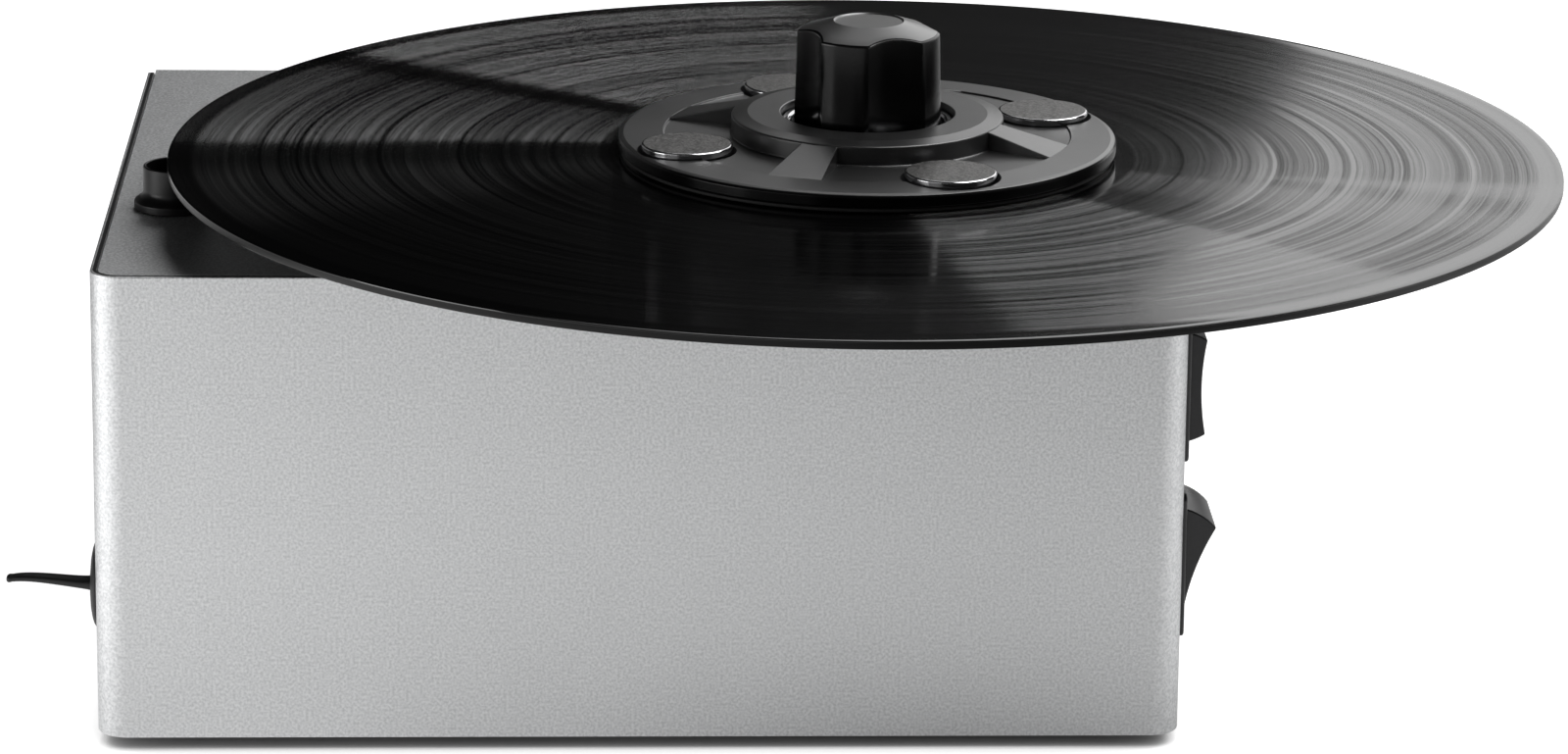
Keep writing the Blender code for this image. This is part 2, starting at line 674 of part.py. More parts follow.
def gear_outline(teeth, phase):
    """Straight-sided teeth on the pitch circle, thinned by the backlash."""
    addendum_share, dedendum_share = 0.85, 1.15
    tip_share, root_share = 0.52, 0.48
    pitch_radius = GEAR_MODULE * teeth * PITCH_DIAMETER_SHARE
    tip = pitch_radius + GEAR_MODULE * addendum_share
    root = pitch_radius - GEAR_MODULE * dedendum_share
    step = math.tau / teeth
    half = step / 4 - TOOTH_BACKLASH / (2 * pitch_radius)
    points = []
    for index in range(teeth):
        middle = phase + index * step
        at_root = half + (step / 2 - half) * root_share
        at_tip = half * tip_share
        for radius, angle in ((root, -at_root), (tip, -at_tip), (tip, at_tip), (root, at_root)):
            points.append((radius * math.cos(middle + angle), radius * math.sin(middle + angle)))
    return points


def drive_gear(axis):
    """The wheel on the spindle, a tooth of which points at the pinion's gap."""
    centre = place(SPINDLE_X, SPINDLE_Y, GEAR_BOTTOM)
    outline = gear_outline(GEAR_TEETH, math.pi / 2)
    obj = add("drive_gear", extruded(outline, GEAR_THICK), "nylon", centre, parent=axis)
    hole = rod(SHAFT_RADIUS + SEAT_GAP, GEAR_THICK + 2 * OVERRUN, HIDDEN)
    cut(obj, guide("cut_gear", hole, centre - Vector((0, 0, OVERRUN))))


def pinion():
    """The motor's shaft with its small gear."""
    axis = axis_empty("pinion_axis", place(SPINDLE_X, PINION_Y, GEAR_BOTTOM))
    gap_phase = -math.pi / 2 + math.pi / PINION_TEETH
    at = place(SPINDLE_X, PINION_Y, GEAR_BOTTOM)
    obj = add("motor_pinion", extruded(gear_outline(PINION_TEETH, gap_phase), GEAR_THICK), "brass", at, parent=axis)
    low = MOTOR_TOP - MOTOR_SHAFT_DEPTH
    shaft = rod(PINION_SHAFT_RADIUS, GEAR_TOP - low - OVERRUN, HIDDEN)
    join(obj, guide("pinion_shaft", shaft, place(SPINDLE_X, PINION_Y, low)))


def platter_motor():
    """A geared motor under the bracket, with a blind bore for its own shaft."""
    bore = PINION_SHAFT_RADIUS + SEAT_GAP
    shoulder = -MOTOR_GEARBOX
    end = shoulder - MOTOR_CAN
    profile = [
        (0, end - MOTOR_END), (MOTOR_END_RADIUS, end - MOTOR_END), (MOTOR_END_RADIUS, end),
        (MOTOR_CAN_RADIUS, end), (MOTOR_CAN_RADIUS, shoulder), (MOTOR_RADIUS, shoulder), (MOTOR_RADIUS, 0),
        (bore, 0), (bore, -MOTOR_SHAFT_DEPTH - SEAT_GAP), (0, -MOTOR_SHAFT_DEPTH - SEAT_GAP),
    ]
    add("platter_motor", turned(profile), "steel", place(SPINDLE_X, PINION_Y, MOTOR_TOP))


def motor_bracket():
    """A hat section that hangs the motor under the deck, clear of the drive gear."""
    half = BRACKET_WIDTH / 2
    top = DECK_UNDERSIDE - SEAT_GAP - BRACKET_TOP
    under_flange = top - BRACKET_SHEET
    out = half + BRACKET_FLANGE
    wall = half - BRACKET_SHEET
    profile = [
        (-half, -BRACKET_SHEET), (half, -BRACKET_SHEET), (half, under_flange), (out, under_flange),
        (out, top), (wall, top), (wall, 0), (-wall, 0), (-wall, top), (-out, top),
        (-out, under_flange), (-half, under_flange),
    ]
    rear = PINION_Y + BRACKET_DEPTH / 2
    shape = extruded(profile, BRACKET_DEPTH)
    obj = add("motor_bracket", shape, "steel", place(SPINDLE_X, rear, BRACKET_TOP), PROFILE_ALONG_Y)
    hole = rod(MOTOR_SHAFT_BEARING, BRACKET_SHEET + 2 * OVERRUN)
    cut(obj, guide("cut_bracket", hole, place(SPINDLE_X, PINION_Y, BRACKET_BOTTOM - OVERRUN)))


def record():
    """The disc that the machine cleans, thinner between its rim and its label."""
    rim = RECORD_RADIUS - RECORD_RIM_WIDTH
    land = LABEL_RADIUS + RECORD_RIM_WIDTH
    thin = RECORD_RIM_THIN
    profile = [
        (RECORD_HOLE, 0), (RECORD_RADIUS - RECORD_LAND_WIDTH, 0), (RECORD_RADIUS, RECORD_THICK / 2),
        (RECORD_RADIUS - RECORD_LAND_WIDTH, RECORD_THICK), (rim, RECORD_THICK - thin),
        (land, RECORD_THICK - thin), (LABEL_RADIUS, RECORD_THICK), (RECORD_HOLE, RECORD_THICK),
    ]
    axis = axis_empty("record_axis", place(SPINDLE_X, SPINDLE_Y, RECORD_Z))
    add("vinyl_record", turned(profile, FINE), "vinyl", place(SPINDLE_X, SPINDLE_Y, RECORD_Z), parent=axis)
    label = ring(RECORD_HOLE, LABEL_RADIUS, LABEL_THICK, MEDIUM)
    at = place(SPINDLE_X, SPINDLE_Y, RECORD_TOP + SEAT_GAP)
    add("record_label", label, "paper", at, parent=axis)


def clamp_profile():
    edge = CLAMP_EDGE
    bore = PIN_RADIUS + SEAT_GAP
    return [
        (bore, CLAMP_UNDERSIDE), (CLAMP_RADIUS, CLAMP_UNDERSIDE), (CLAMP_RADIUS, CLAMP_RIM_TOP - edge),
        (CLAMP_RADIUS - edge * 0.3, CLAMP_RIM_TOP - edge * 0.3), (CLAMP_RADIUS - edge, CLAMP_RIM_TOP),
        (CLAMP_FLOOR_RADIUS, CLAMP_RIM_TOP), (CLAMP_FLOOR_RADIUS, CLAMP_FLOOR),
        (CLAMP_HUB_RADIUS, CLAMP_FLOOR), (CLAMP_HUB_RADIUS, CLAMP_HUB_EDGE),
        (CLAMP_RING_RADIUS, CLAMP_HUB_TOP), (CLAMP_BORE, CLAMP_HUB_TOP), (CLAMP_BORE, CLAMP_WEB),
        (bore, CLAMP_WEB),
    ]


def rib_shape(turn):
    """A wedge from the hub's edge down to the rim, between two radial planes."""
    embed = CLAMP_BORE / 16
    slope = (CLAMP_HUB_EDGE - RIB_DROP - CLAMP_RIM_TOP) / (CLAMP_FLOOR_RADIUS - CLAMP_HUB_RADIUS)
    inner = CLAMP_HUB_RADIUS - embed
    outer = CLAMP_FLOOR_RADIUS + embed
    low = (CLAMP_UNDERSIDE + CLAMP_FLOOR) / 2
    shape = bmesh.new()
    rings = []
    for radius in (inner, outer):
        top = CLAMP_RIM_TOP + slope * (CLAMP_FLOOR_RADIUS - radius)
        for side in (-1, 1):
            angle = turn + side * RIB_HALF_ANGLE
            x, y = radius * math.cos(angle), radius * math.sin(angle)
            rings.append([shape.verts.new((x, y, low)), shape.verts.new((x, y, top))])
    (a0, a1), (b0, b1), (c0, c1), (d0, d1) = rings
    for corners in ((a0, b0, b1, a1), (c0, c1, d1, d0), (a0, a1, c1, c0), (b0, d0, d1, b1),
                    (a1, b1, d1, c1), (a0, c0, d0, b0)):
        shape.faces.new(corners)
    return shape


def quarter_turns():
    return [CLAMP_TURN + index * math.pi / 2 for index in range(4)]


def clamp():
    """The dished disc with its four ribs, its seal, its weights and the bushing."""
    centre = place(SPINDLE_X, SPINDLE_Y, RECORD_TOP)
    axis = axis_empty("clamp_axis", centre)
    disc = add("clamp_disc", turned(clamp_profile(), MEDIUM), "black", centre, parent=axis)
    pocket_floor = WEIGHT_TOP - WEIGHT_HEIGHT - SEAT_GAP
    for index, angle in enumerate(quarter_turns()):
        rib = guide(f"clamp_rib_{index + 1}", rib_shape(angle + math.pi / 4), centre)
        join(disc, rib)
    for index, angle in enumerate(quarter_turns()):
        offset = Vector((WEIGHT_CIRCLE * math.cos(angle), WEIGHT_CIRCLE * math.sin(angle), 0))
        pocket = rod(WEIGHT_RADIUS + SEAT_GAP, WEIGHT_TOP)
        at = centre + offset + Vector((0, 0, pocket_floor))
        cut(disc, guide(f"cut_weight_{index + 1}", pocket, at))
        at = centre + offset + Vector((0, 0, pocket_floor + SEAT_GAP))
        add(f"clamp_weight_{index + 1}", turned(weight_profile()), "chrome", at, parent=axis)
    seal = ring(SEAL_RADIUS - SEAL_WIDTH, SEAL_RADIUS, CLAMP_UNDERSIDE - 2 * SEAT_GAP, MEDIUM)
    add("clamp_seal", seal, "rubber", centre + Vector((0, 0, SEAT_GAP)), parent=axis)
    bushing = ring(CLAMP_BORE - SEAT_GAP - BUSHING_WALL, CLAMP_BORE - SEAT_GAP, BUSHING_HEIGHT, ROUND)
    add("clamp_bushing", bushing, "chrome", centre + Vector((0, 0, CLAMP_WEB + SEAT_GAP)), parent=axis)
    knob(centre)


def weight_profile():
    top, edge = WEIGHT_HEIGHT, WEIGHT_ROUND
    return [
        (0, 0), (WEIGHT_RADIUS, 0), (WEIGHT_RADIUS, top - edge), (WEIGHT_RADIUS - edge, top),
        (WEIGHT_RADIUS - 2 * edge, top - WEIGHT_DISH), (0, top - WEIGHT_DISH),
    ]


def knob(centre):
    """The fluted knob that screws down on the spindle's pin."""
    axis = axis_empty("knob_axis", centre)
    low = CLAMP_WEB + SEAT_GAP
    bore = PIN_RADIUS + SEAT_GAP
    profile = [
        (0, KNOB_BORE_TOP), (bore, KNOB_BORE_TOP), (bore, low), (KNOB_BASE_RADIUS, low),
        (KNOB_TOP_RADIUS, KNOB_SHOULDER), (KNOB_CAP_RADIUS, KNOB_TOP),
        (KNOB_CAP_RADIUS - KNOB_CAP_DISH, KNOB_TOP - KNOB_CAP_DISH), (0, KNOB_TOP - KNOB_CAP_DISH),
    ]
    obj = add("clamp_knob", turned(profile, MEDIUM), "black", centre, parent=axis)
    reach = KNOB_TOP_RADIUS - FLUTE_DEPTH + FLUTE_RADIUS
    for index, angle in enumerate(quarter_turns()):
        flute = rod(FLUTE_RADIUS, KNOB_TOP + 2 * OVERRUN, FINE)
        offset = Vector((reach * math.cos(angle), reach * math.sin(angle), -OVERRUN))
        cut(obj, guide(f"cut_flute_{index + 1}", flute, centre + offset))


def arm_socket():
    """The black collar that the suction arm's tube drops into."""
    foot, height = SOCKET_FOOT_RADIUS, SOCKET_FOOT_HEIGHT
    edge = SOCKET_FOOT_ROUND
    pipe_bore = PIPE_RADIUS + SEAT_GAP
    step = SOCKET_HEIGHT - SOCKET_BORE_DEPTH
    bottom = -SHEET - SOCKET_STEM
    profile = [
        (pipe_bore, bottom), (SOCKET_STEM_RADIUS, bottom), (SOCKET_STEM_RADIUS, SEAT_GAP), (foot, SEAT_GAP),
        (foot, height - edge), (foot - edge, height), (SOCKET_RADIUS, height + edge),
        (SOCKET_RADIUS, SOCKET_HEIGHT), (SOCKET_BORE, SOCKET_HEIGHT), (SOCKET_BORE, step), (pipe_bore, step),
    ]
    centre = (SOCKET_FROM_LEFT, SOCKET_FROM_FRONT)
    add("arm_socket", turned(profile), "black", place(*centre, DECK_Z))
    nut("socket_nut", SOCKET_NUT_RADIUS, SOCKET_STEM_RADIUS, SOCKET_NUT_HEIGHT, centre)
    top = DECK_Z + step - SEAT_GAP
    low = TANK_TOP - PIPE_INTO_TANK
    pipe = ring(PIPE_RADIUS - PIPE_WALL, PIPE_RADIUS, top - low, HIDDEN)
    add("suction_pipe", pipe, "nylon", place(*centre, low))


def waste_tank():
    """The open box that catches the fluid, with a lid pushed into its top."""
    front = DRAIN_FROM_FRONT - DRAIN_TUBE_RADIUS - SEAT_GAP
    rear = BLOWER_Y + HOSE_RADIUS + TANK_CORNER
    outline = rounded((TANK_LEFT, front), (TANK_RIGHT, rear), TANK_CORNER, 3)
    tank = add("waste_tank", extruded(outline, TANK_HEIGHT), "nylon", place(0, 0, BENCH_Z))
    inside_low = (TANK_LEFT + TANK_WALL, front + TANK_WALL)
    inside_high = (TANK_RIGHT - TANK_WALL, rear - TANK_WALL)
    inner = extruded(rounded(inside_low, inside_high, TANK_CORNER - TANK_WALL, 3), TANK_HEIGHT)
    cut(tank, guide("cut_tank", inner, place(0, 0, BENCH_Z + TANK_WALL)))
    length = TANK_WALL + 2 * OVERRUN
    drain = rod(DRAIN_BORE, length, HIDDEN)
    cut(tank, guide("cut_tank_drain", drain, place(TANK_LEFT - OVERRUN, DRAIN_FROM_FRONT, DRAIN_HEIGHT), ALONG_X))
    port = rod(HOSE_BORE, length, HIDDEN)
    at = place(TANK_RIGHT - TANK_WALL - OVERRUN, BLOWER_Y, BLOWER_Z)
    cut(tank, guide("cut_tank_port", port, at, ALONG_X))

    lid = add("tank_lid", extruded(outline, TANK_LID_THICK), "nylon", place(0, 0, TANK_TOP + SEAT_GAP))
    margin = TANK_WALL + SEAT_GAP
    lip_low = (TANK_LEFT + margin, front + margin)
    lip_high = (TANK_RIGHT - margin, rear - margin)
    lip = extruded(rounded(lip_low, lip_high, TANK_CORNER - margin, 3), TANK_LIP + TANK_LID_THICK / 2)
    join(lid, guide("lid_lip", lip, place(0, 0, TANK_TOP + SEAT_GAP - TANK_LIP)))
    hole = rod(PIPE_RADIUS + SEAT_GAP, TANK_LID_THICK + TANK_LIP + 2 * OVERRUN, HIDDEN)
    at = place(SOCKET_FROM_LEFT, SOCKET_FROM_FRONT, TANK_TOP + SEAT_GAP - TANK_LIP - OVERRUN)
    cut(lid, guide("cut_lid", hole, at))


def drain():
    """The short outlet through the left side and the rubber plug that closes it."""
    length = TANK_LEFT - SEAT_GAP
    outlet = ring(DRAIN_BORE, DRAIN_TUBE_RADIUS, length, HIDDEN)
    add("drain_outlet", outlet, "nylon", place(0, DRAIN_FROM_FRONT, DRAIN_HEIGHT), ALONG_X)

    centre = place(PLUG_X, DRAIN_FROM_FRONT, DRAIN_HEIGHT)
    head = PLUG_HEAD_RADIUS
    dome = PLUG_DOME - PLUG_RIM
    profile = [
        (0, -PLUG_SHANK), (PLUG_SHANK_RADIUS, -PLUG_SHANK), (PLUG_SHANK_RADIUS, 0), (head, 0),
        (head, PLUG_RIM * 0.7), (head * 0.96, PLUG_RIM), (head * 0.7, PLUG_RIM + dome * 0.6),
        (head * 0.35, PLUG_RIM + dome * 0.92), (0, PLUG_DOME),
    ]
    plug = add("drain_plug", turned(profile), "rubber", centre, ALONG_MINUS_X)
    join(plug, guide("plug_tail", tail_shape(), centre))


def tail_shape():
    """The pull tab: a thin tongue that rises a little and bends down again at its tip."""
    root = PLUG_RIM * 0.6
    reach = PLUG_REACH + PLUG_X
    shape = bmesh.new()
    rings = []
    steps = 6
    for step in range(steps + 1):
        share = step / steps
        x = -(root + (reach - root) * share)
        thick = PLUG_TAIL_THICK + (PLUG_TAIL_TIP - PLUG_TAIL_THICK) * share
        width = PLUG_TAIL_WIDTH + (PLUG_TAIL_TIP_WIDTH - PLUG_TAIL_WIDTH) * share
        middle = PLUG_TAIL_LIFT * math.sin(math.pi / 2 * share / PLUG_TAIL_CREST_SHARE)
        corners = ((-width / 2, -thick / 2), (width / 2, -thick / 2), (width / 2, thick / 2), (-width / 2, thick / 2))
        rings.append([shape.verts.new((x, y, middle + z)) for y, z in corners])
    for near, far in zip(rings, rings[1:]):
        for index in range(4):
            other = (index + 1) % 4
            shape.faces.new((near[index], near[other], far[other], far[index]))
    shape.faces.new(rings[0])
    shape.faces.new(rings[-1])
    return shape


def blower():
    """The scroll, its impeller, motor, cradle, inlet hose and exhaust duct."""
    hose = ring(HOSE_BORE, HOSE_RADIUS, HOSE_LENGTH, HIDDEN)
    add("vacuum_hose", hose, "rubber", place(HOSE_X, BLOWER_Y, BLOWER_Z), ALONG_X)
    wall, width, radius = BLOWER_WALL, BLOWER_WIDTH, BLOWER_RADIUS
    profile = [
        (BLOWER_INLET, 0), (radius, 0), (radius, width), (BLOWER_SHAFT_HOLE, width),
        (BLOWER_SHAFT_HOLE, width - wall), (radius - wall, width - wall), (radius - wall, wall),
        (BLOWER_INLET, wall),
    ]
    housing = add("blower_housing", turned(profile), "grey", place(BLOWER_X, BLOWER_Y, BLOWER_Z), ALONG_X)
    middle = BLOWER_X + width / 2
    bite = BLOWER_Y + radius - wall * 0.9
    outer = radius + OUTLET_REACH
    low = (middle - OUTLET_WIDTH / 2, bite, BLOWER_Z - OUTLET_HEIGHT / 2)
    high = (middle + OUTLET_WIDTH / 2, BLOWER_Y + outer, BLOWER_Z + OUTLET_HEIGHT / 2)
    join(housing, block("blower_outlet", low, high, None))
    half_x = OUTLET_WIDTH / 2 - DUCT_WALL
    half_z = OUTLET_HEIGHT / 2 - DUCT_WALL
    low = (middle - half_x, BLOWER_Y + radius / 2, BLOWER_Z - half_z)
    cut(housing, block("cut_outlet", low, (middle + half_x, BLOWER_Y + outer + OVERRUN, BLOWER_Z + half_z), None))

    duct = extruded(centred(OUTLET_WIDTH, OUTLET_HEIGHT), DUCT_LENGTH)
    start = BLOWER_Y + outer + SEAT_GAP
    duct = add("exhaust_duct", duct, "nylon", place(middle, start, BLOWER_Z), ALONG_Y)
    hollow = extruded(centred(2 * half_x, 2 * half_z), DUCT_LENGTH + 2 * OVERRUN)
    cut(duct, guide("cut_duct", hollow, place(middle, start - OVERRUN, BLOWER_Z), ALONG_Y))
    impeller()
    blower_motor()


def blade_outline(turn):
    """One backward-curved vane of even thickness, from the eye out to the rim."""
    steps = 4
    inner, outer = IMPELLER_EYE, IMPELLER_RADIUS - IMPELLER_CLEARANCE
    side_a, side_b = [], []
    for step in range(steps + 1):
        share = step / steps
        radius = inner + (outer - inner) * share
        angle = turn + BLADE_SWEEP * share
        half = BLADE_THICK / (2 * radius)
        side_a.append((radius * math.cos(angle - half), radius * math.sin(angle - half)))
        side_b.append((radius * math.cos(angle + half), radius * math.sin(angle + half)))
    return side_a + side_b[::-1]


def impeller():
    disc_at = BLOWER_WIDTH - BLOWER_WALL - IMPELLER_CLEARANCE - IMPELLER_DISC
    shaft_end = BLOWER_WIDTH + SEAT_GAP + BLOWER_SHAFT_DEPTH - SEAT_GAP
    back = disc_at + IMPELLER_DISC
    front = disc_at - BLADE_WIDTH
    centre = place(BLOWER_X, BLOWER_Y, BLOWER_Z)
    axis = axis_empty("impeller_axis", centre)
    profile = [
        (0, front), (IMPELLER_HUB_RADIUS, front), (IMPELLER_HUB_RADIUS, disc_at), (IMPELLER_RADIUS, disc_at),
        (IMPELLER_RADIUS, back), (IMPELLER_SHAFT_RADIUS, back), (IMPELLER_SHAFT_RADIUS, shaft_end), (0, shaft_end),
    ]
    wheel = add("impeller", turned(profile), "nylon", centre, ALONG_X, parent=axis)
    for index in range(IMPELLER_BLADES):
        blade = extruded(blade_outline(math.tau * index / IMPELLER_BLADES), BLADE_WIDTH + IMPELLER_DISC / 2)
        at = centre + Vector((front, 0, 0))
        join(wheel, guide(f"blade_{index + 1}", blade, at, ALONG_X))


def blower_motor():
    bore = IMPELLER_SHAFT_RADIUS + SEAT_GAP
    depth = BLOWER_SHAFT_DEPTH + SEAT_GAP
    radius, length = BLOWER_MOTOR_RADIUS, BLOWER_MOTOR_LENGTH
    body = length - BLOWER_MOTOR_CAP
    profile = [
        (0, depth), (bore, depth), (bore, 0), (radius, 0), (radius, body),
        (BLOWER_MOTOR_CAP_RADIUS, body), (BLOWER_MOTOR_CAP_RADIUS, length), (0, length),
    ]
    at = place(BLOWER_MOTOR_X, BLOWER_Y, BLOWER_Z)
    add("blower_motor", turned(profile), "steel", at, ALONG_X)
    start = BLOWER_MOTOR_X + (body - CRADLE_LENGTH) / 2
    low = (start, BLOWER_Y - CRADLE_WIDTH / 2, BENCH_Z)
    high = (start + CRADLE_LENGTH, BLOWER_Y + CRADLE_WIDTH / 2, BLOWER_Z - radius + CRADLE_REACH)
    cradle = block("motor_cradle", low, high, "rubber")
    saddle = rod(radius + SEAT_GAP, CRADLE_LENGTH + 2 * OVERRUN)
    cut(cradle, guide("cut_cradle", saddle, place(start - OVERRUN, BLOWER_Y, BLOWER_Z), ALONG_X))


def rocker_sizes():
    """The pivot's X, the rocker's radius and the reach of its face beyond the pivot."""
    pivot_x = BODY_WIDTH + SEAT_GAP + SWITCH_BEZEL - ROCKER_PIVOT_DEPTH
    end = ROCKER_END_OUT + ROCKER_PIVOT_DEPTH
    middle = ROCKER_MIDDLE_OUT + ROCKER_PIVOT_DEPTH
    return pivot_x, math.hypot(end, ROCKER_HALF_HEIGHT), end, middle


def rocker_outline():
    """A dished face on a round back that turns inside the switch body."""
    _, radius, end, middle = rocker_sizes()
    corner = math.degrees(math.atan2(ROCKER_HALF_HEIGHT, end))
    outline = arc((0, 0), radius, corner, 360 - corner, 14)
    face = []
    steps = 6
    for step in range(1, steps):
        share = 2 * step / steps - 1
        face.append((middle + (end - middle) * share * share, ROCKER_HALF_HEIGHT * share))
    return outline + face


def switch(side, height, tilt):
    """One rocker switch: the moulded body with its bezel, and the rocker on its pivot."""
    pivot_x, radius, _, _ = rocker_sizes()
    bezel_x = BODY_WIDTH + SEAT_GAP
    half_y, half_z = SWITCH_WIDTH / 2, SWITCH_HEIGHT / 2
    outline = rounded((-half_y, -half_z), (half_y, half_z), SWITCH_CORNER, 2)
    at = place(bezel_x, SWITCH_FROM_FRONT, height)
    body = add(f"{side}_switch_body", extruded(outline, SWITCH_BEZEL), "black", at, PROFILE_ALONG_X)
    core_y, core_z = SWITCH_BODY_WIDTH / 2, SWITCH_BODY_HEIGHT / 2
    low = (bezel_x - SWITCH_BODY_DEPTH, SWITCH_FROM_FRONT - core_y, height - core_z)
    high = (bezel_x + SWITCH_BEZEL / 2, SWITCH_FROM_FRONT + core_y, height + core_z)
    join(body, block(f"{side}_switch_core", low, high, None))
    hollow = rod(radius + SEAT_GAP, ROCKER_WIDTH + 2 * SEAT_GAP, ROUND)
    at = place(pivot_x, SWITCH_FROM_FRONT - ROCKER_WIDTH / 2 - SEAT_GAP, height)
    cut(body, guide(f"cut_{side}_rocker", hollow, at, ALONG_Y))

    pivot = axis_empty(f"{side}_pivot", place(pivot_x, SWITCH_FROM_FRONT, height))
    shape = extruded(rocker_outline(), ROCKER_WIDTH)
    bmesh.ops.rotate(shape, verts=shape.verts, cent=(0, 0, 0), matrix=Matrix.Rotation(tilt, 3, "Z"))
    rear = place(pivot_x, SWITCH_FROM_FRONT + ROCKER_WIDTH / 2, height)
    add(f"{side}_rocker", shape, "black", rear, PROFILE_ALONG_Y, parent=pivot)


def power_inlet():
    """The mains inlet in the back: a shaped recess with three blades, and a fuse drawer under it."""
    half_x, half_z = INLET_FLANGE_WIDTH / 2, INLET_FLANGE_HEIGHT / 2
    back = BODY_DEPTH + SEAT_GAP
    face = back + INLET_FLANGE
    low = (INLET_X - half_x, back, INLET_HEIGHT - half_z)
    body = block("power_inlet", low, (INLET_X + half_x, face, INLET_HEIGHT + half_z), "black")
    core_x, core_z = INLET_BODY_WIDTH / 2, INLET_BODY_HEIGHT / 2
    low = (INLET_X - core_x, back - INLET_BODY_DEPTH, INLET_HEIGHT - core_z)
    high = (INLET_X + core_x, back + INLET_FLANGE / 2, INLET_HEIGHT + core_z)
    join(body, block("inlet_core", low, high, None))

    w, h, c = CONNECTOR_WIDTH / 2, CONNECTOR_HEIGHT / 2, CONNECTOR_CHAMFER
    recess = [(-w, -h), (w, -h), (w, h - c), (w - c, h), (c - w, h), (-w, h - c)]
    at = place(INLET_X, face + OVERRUN, INLET_HEIGHT + CONNECTOR_RISE)
    shape = extruded(recess, CONNECTOR_DEPTH + OVERRUN)
    cut(body, guide("cut_connector", shape, at, PROFILE_ALONG_Y))
    drawer = INLET_HEIGHT - FUSE_DROP
    slot_x, slot_z = FUSE_WIDTH / 2 + SEAT_GAP, FUSE_HEIGHT / 2 + SEAT_GAP
    low = (INLET_X - slot_x, face - FUSE_DEPTH - SEAT_GAP, drawer - slot_z)
    cut(body, block("cut_fuse", low, (INLET_X + slot_x, face + OVERRUN, drawer + slot_z), None))

    bottom = face - CONNECTOR_DEPTH
    middle = INLET_HEIGHT + CONNECTOR_RISE
    rows = ((-1, -BLADE_PIN_STEP), (0, BLADE_PIN_STEP), (1, -BLADE_PIN_STEP))
    for index, (column, rise) in enumerate(rows):
        x = INLET_X + column * BLADE_PIN_SPACING
        low = (x - BLADE_PIN_WIDTH / 2, bottom - OVERRUN, middle + rise - BLADE_PIN_HEIGHT / 2)
        high = (x + BLADE_PIN_WIDTH / 2, face - BLADE_RECESS, middle + rise + BLADE_PIN_HEIGHT / 2)
        join(body, block(f"inlet_blade_{index + 1}", low, high, None))

    low = (INLET_X - FUSE_WIDTH / 2, face - FUSE_DEPTH, drawer - FUSE_HEIGHT / 2)
    high = (INLET_X + FUSE_WIDTH / 2, face + FUSE_LIP, drawer + FUSE_HEIGHT / 2)
    block("fuse_drawer", low, high, "black")


def control_board():
    """The speed and power board on four spacers, with its encapsulated supply."""
    rear = INNER_REAR - BOARD_FROM_REAR
    front = rear - BOARD_DEPTH
    left, right = INLET_X - BOARD_WIDTH / 2, INLET_X + BOARD_WIDTH / 2
    bottom = BENCH_Z + SPACER_HEIGHT + SEAT_GAP
    block("control_board", (left, front, bottom), (right, rear, bottom + BOARD_THICK), "board")
    places = [(x, y) for y in (front + SPACER_INSET, rear - SPACER_INSET)
              for x in (left + SPACER_INSET, right - SPACER_INSET)]
    for index, (x, y) in enumerate(places):
        add(f"board_spacer_{index + 1}", rod(SPACER_RADIUS, SPACER_HEIGHT, 12), "nylon", place(x, y, BENCH_Z))
    top = bottom + BOARD_THICK + SEAT_GAP
    middle = (front + rear) / 2
    low = (INLET_X - MODULE_WIDTH / 2, middle - MODULE_DEPTH / 2, top)
    high = (INLET_X + MODULE_WIDTH / 2, middle + MODULE_DEPTH / 2, top + MODULE_HEIGHT)
    block("power_module", low, high, "black")


def main():
    clear_scene()
    wrap()
    cover()
    base()
    feet()
    posts()
    rear_screws()
    turntable = axis_empty("turntable_axis", place(SPINDLE_X, SPINDLE_Y, DECK_Z))
    platter(turntable)
    spindle(turntable)
    bearing()
    drive_gear(turntable)
    pinion()
    platter_motor()
    motor_bracket()
    record()
    clamp()
    arm_socket()
    waste_tank()
    drain()
    blower()
    switch("lower", LOWER_SWITCH_Z, -ROCKER_TILT)
    switch("upper", UPPER_SWITCH_Z, 0)
    power_inlet()
    control_board()


main()
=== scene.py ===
"""Looks of the record cleaning machine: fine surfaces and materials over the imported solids."""

from math import atan2, copysign, cos, degrees, hypot, pi, radians, sin, sqrt, tan, tau

import bmesh
import bpy
from mathutils import Matrix, Vector

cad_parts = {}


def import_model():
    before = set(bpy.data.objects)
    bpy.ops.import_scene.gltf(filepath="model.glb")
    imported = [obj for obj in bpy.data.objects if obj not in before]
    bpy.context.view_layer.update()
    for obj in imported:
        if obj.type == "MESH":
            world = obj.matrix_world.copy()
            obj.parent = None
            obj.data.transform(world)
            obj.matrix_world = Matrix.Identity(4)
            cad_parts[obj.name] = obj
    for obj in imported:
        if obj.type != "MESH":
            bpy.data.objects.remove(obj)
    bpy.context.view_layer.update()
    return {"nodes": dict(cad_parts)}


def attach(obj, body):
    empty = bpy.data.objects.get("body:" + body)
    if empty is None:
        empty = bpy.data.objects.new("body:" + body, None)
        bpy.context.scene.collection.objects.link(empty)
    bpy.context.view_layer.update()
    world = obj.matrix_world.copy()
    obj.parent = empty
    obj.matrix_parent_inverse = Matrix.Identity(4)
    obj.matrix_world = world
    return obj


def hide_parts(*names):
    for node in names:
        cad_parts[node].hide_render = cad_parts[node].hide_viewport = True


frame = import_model()

MM = 0.001


def solid_box(name):
    """Low and high corner of one of the frame's solids, in its own millimetres."""
    solid = frame["nodes"][name]
    points = [solid.matrix_world @ vertex.co for vertex in solid.data.vertices]
    return [[round(pick(point[k] for point in points) / MM, 3) for k in range(3)] for pick in (min, max)]


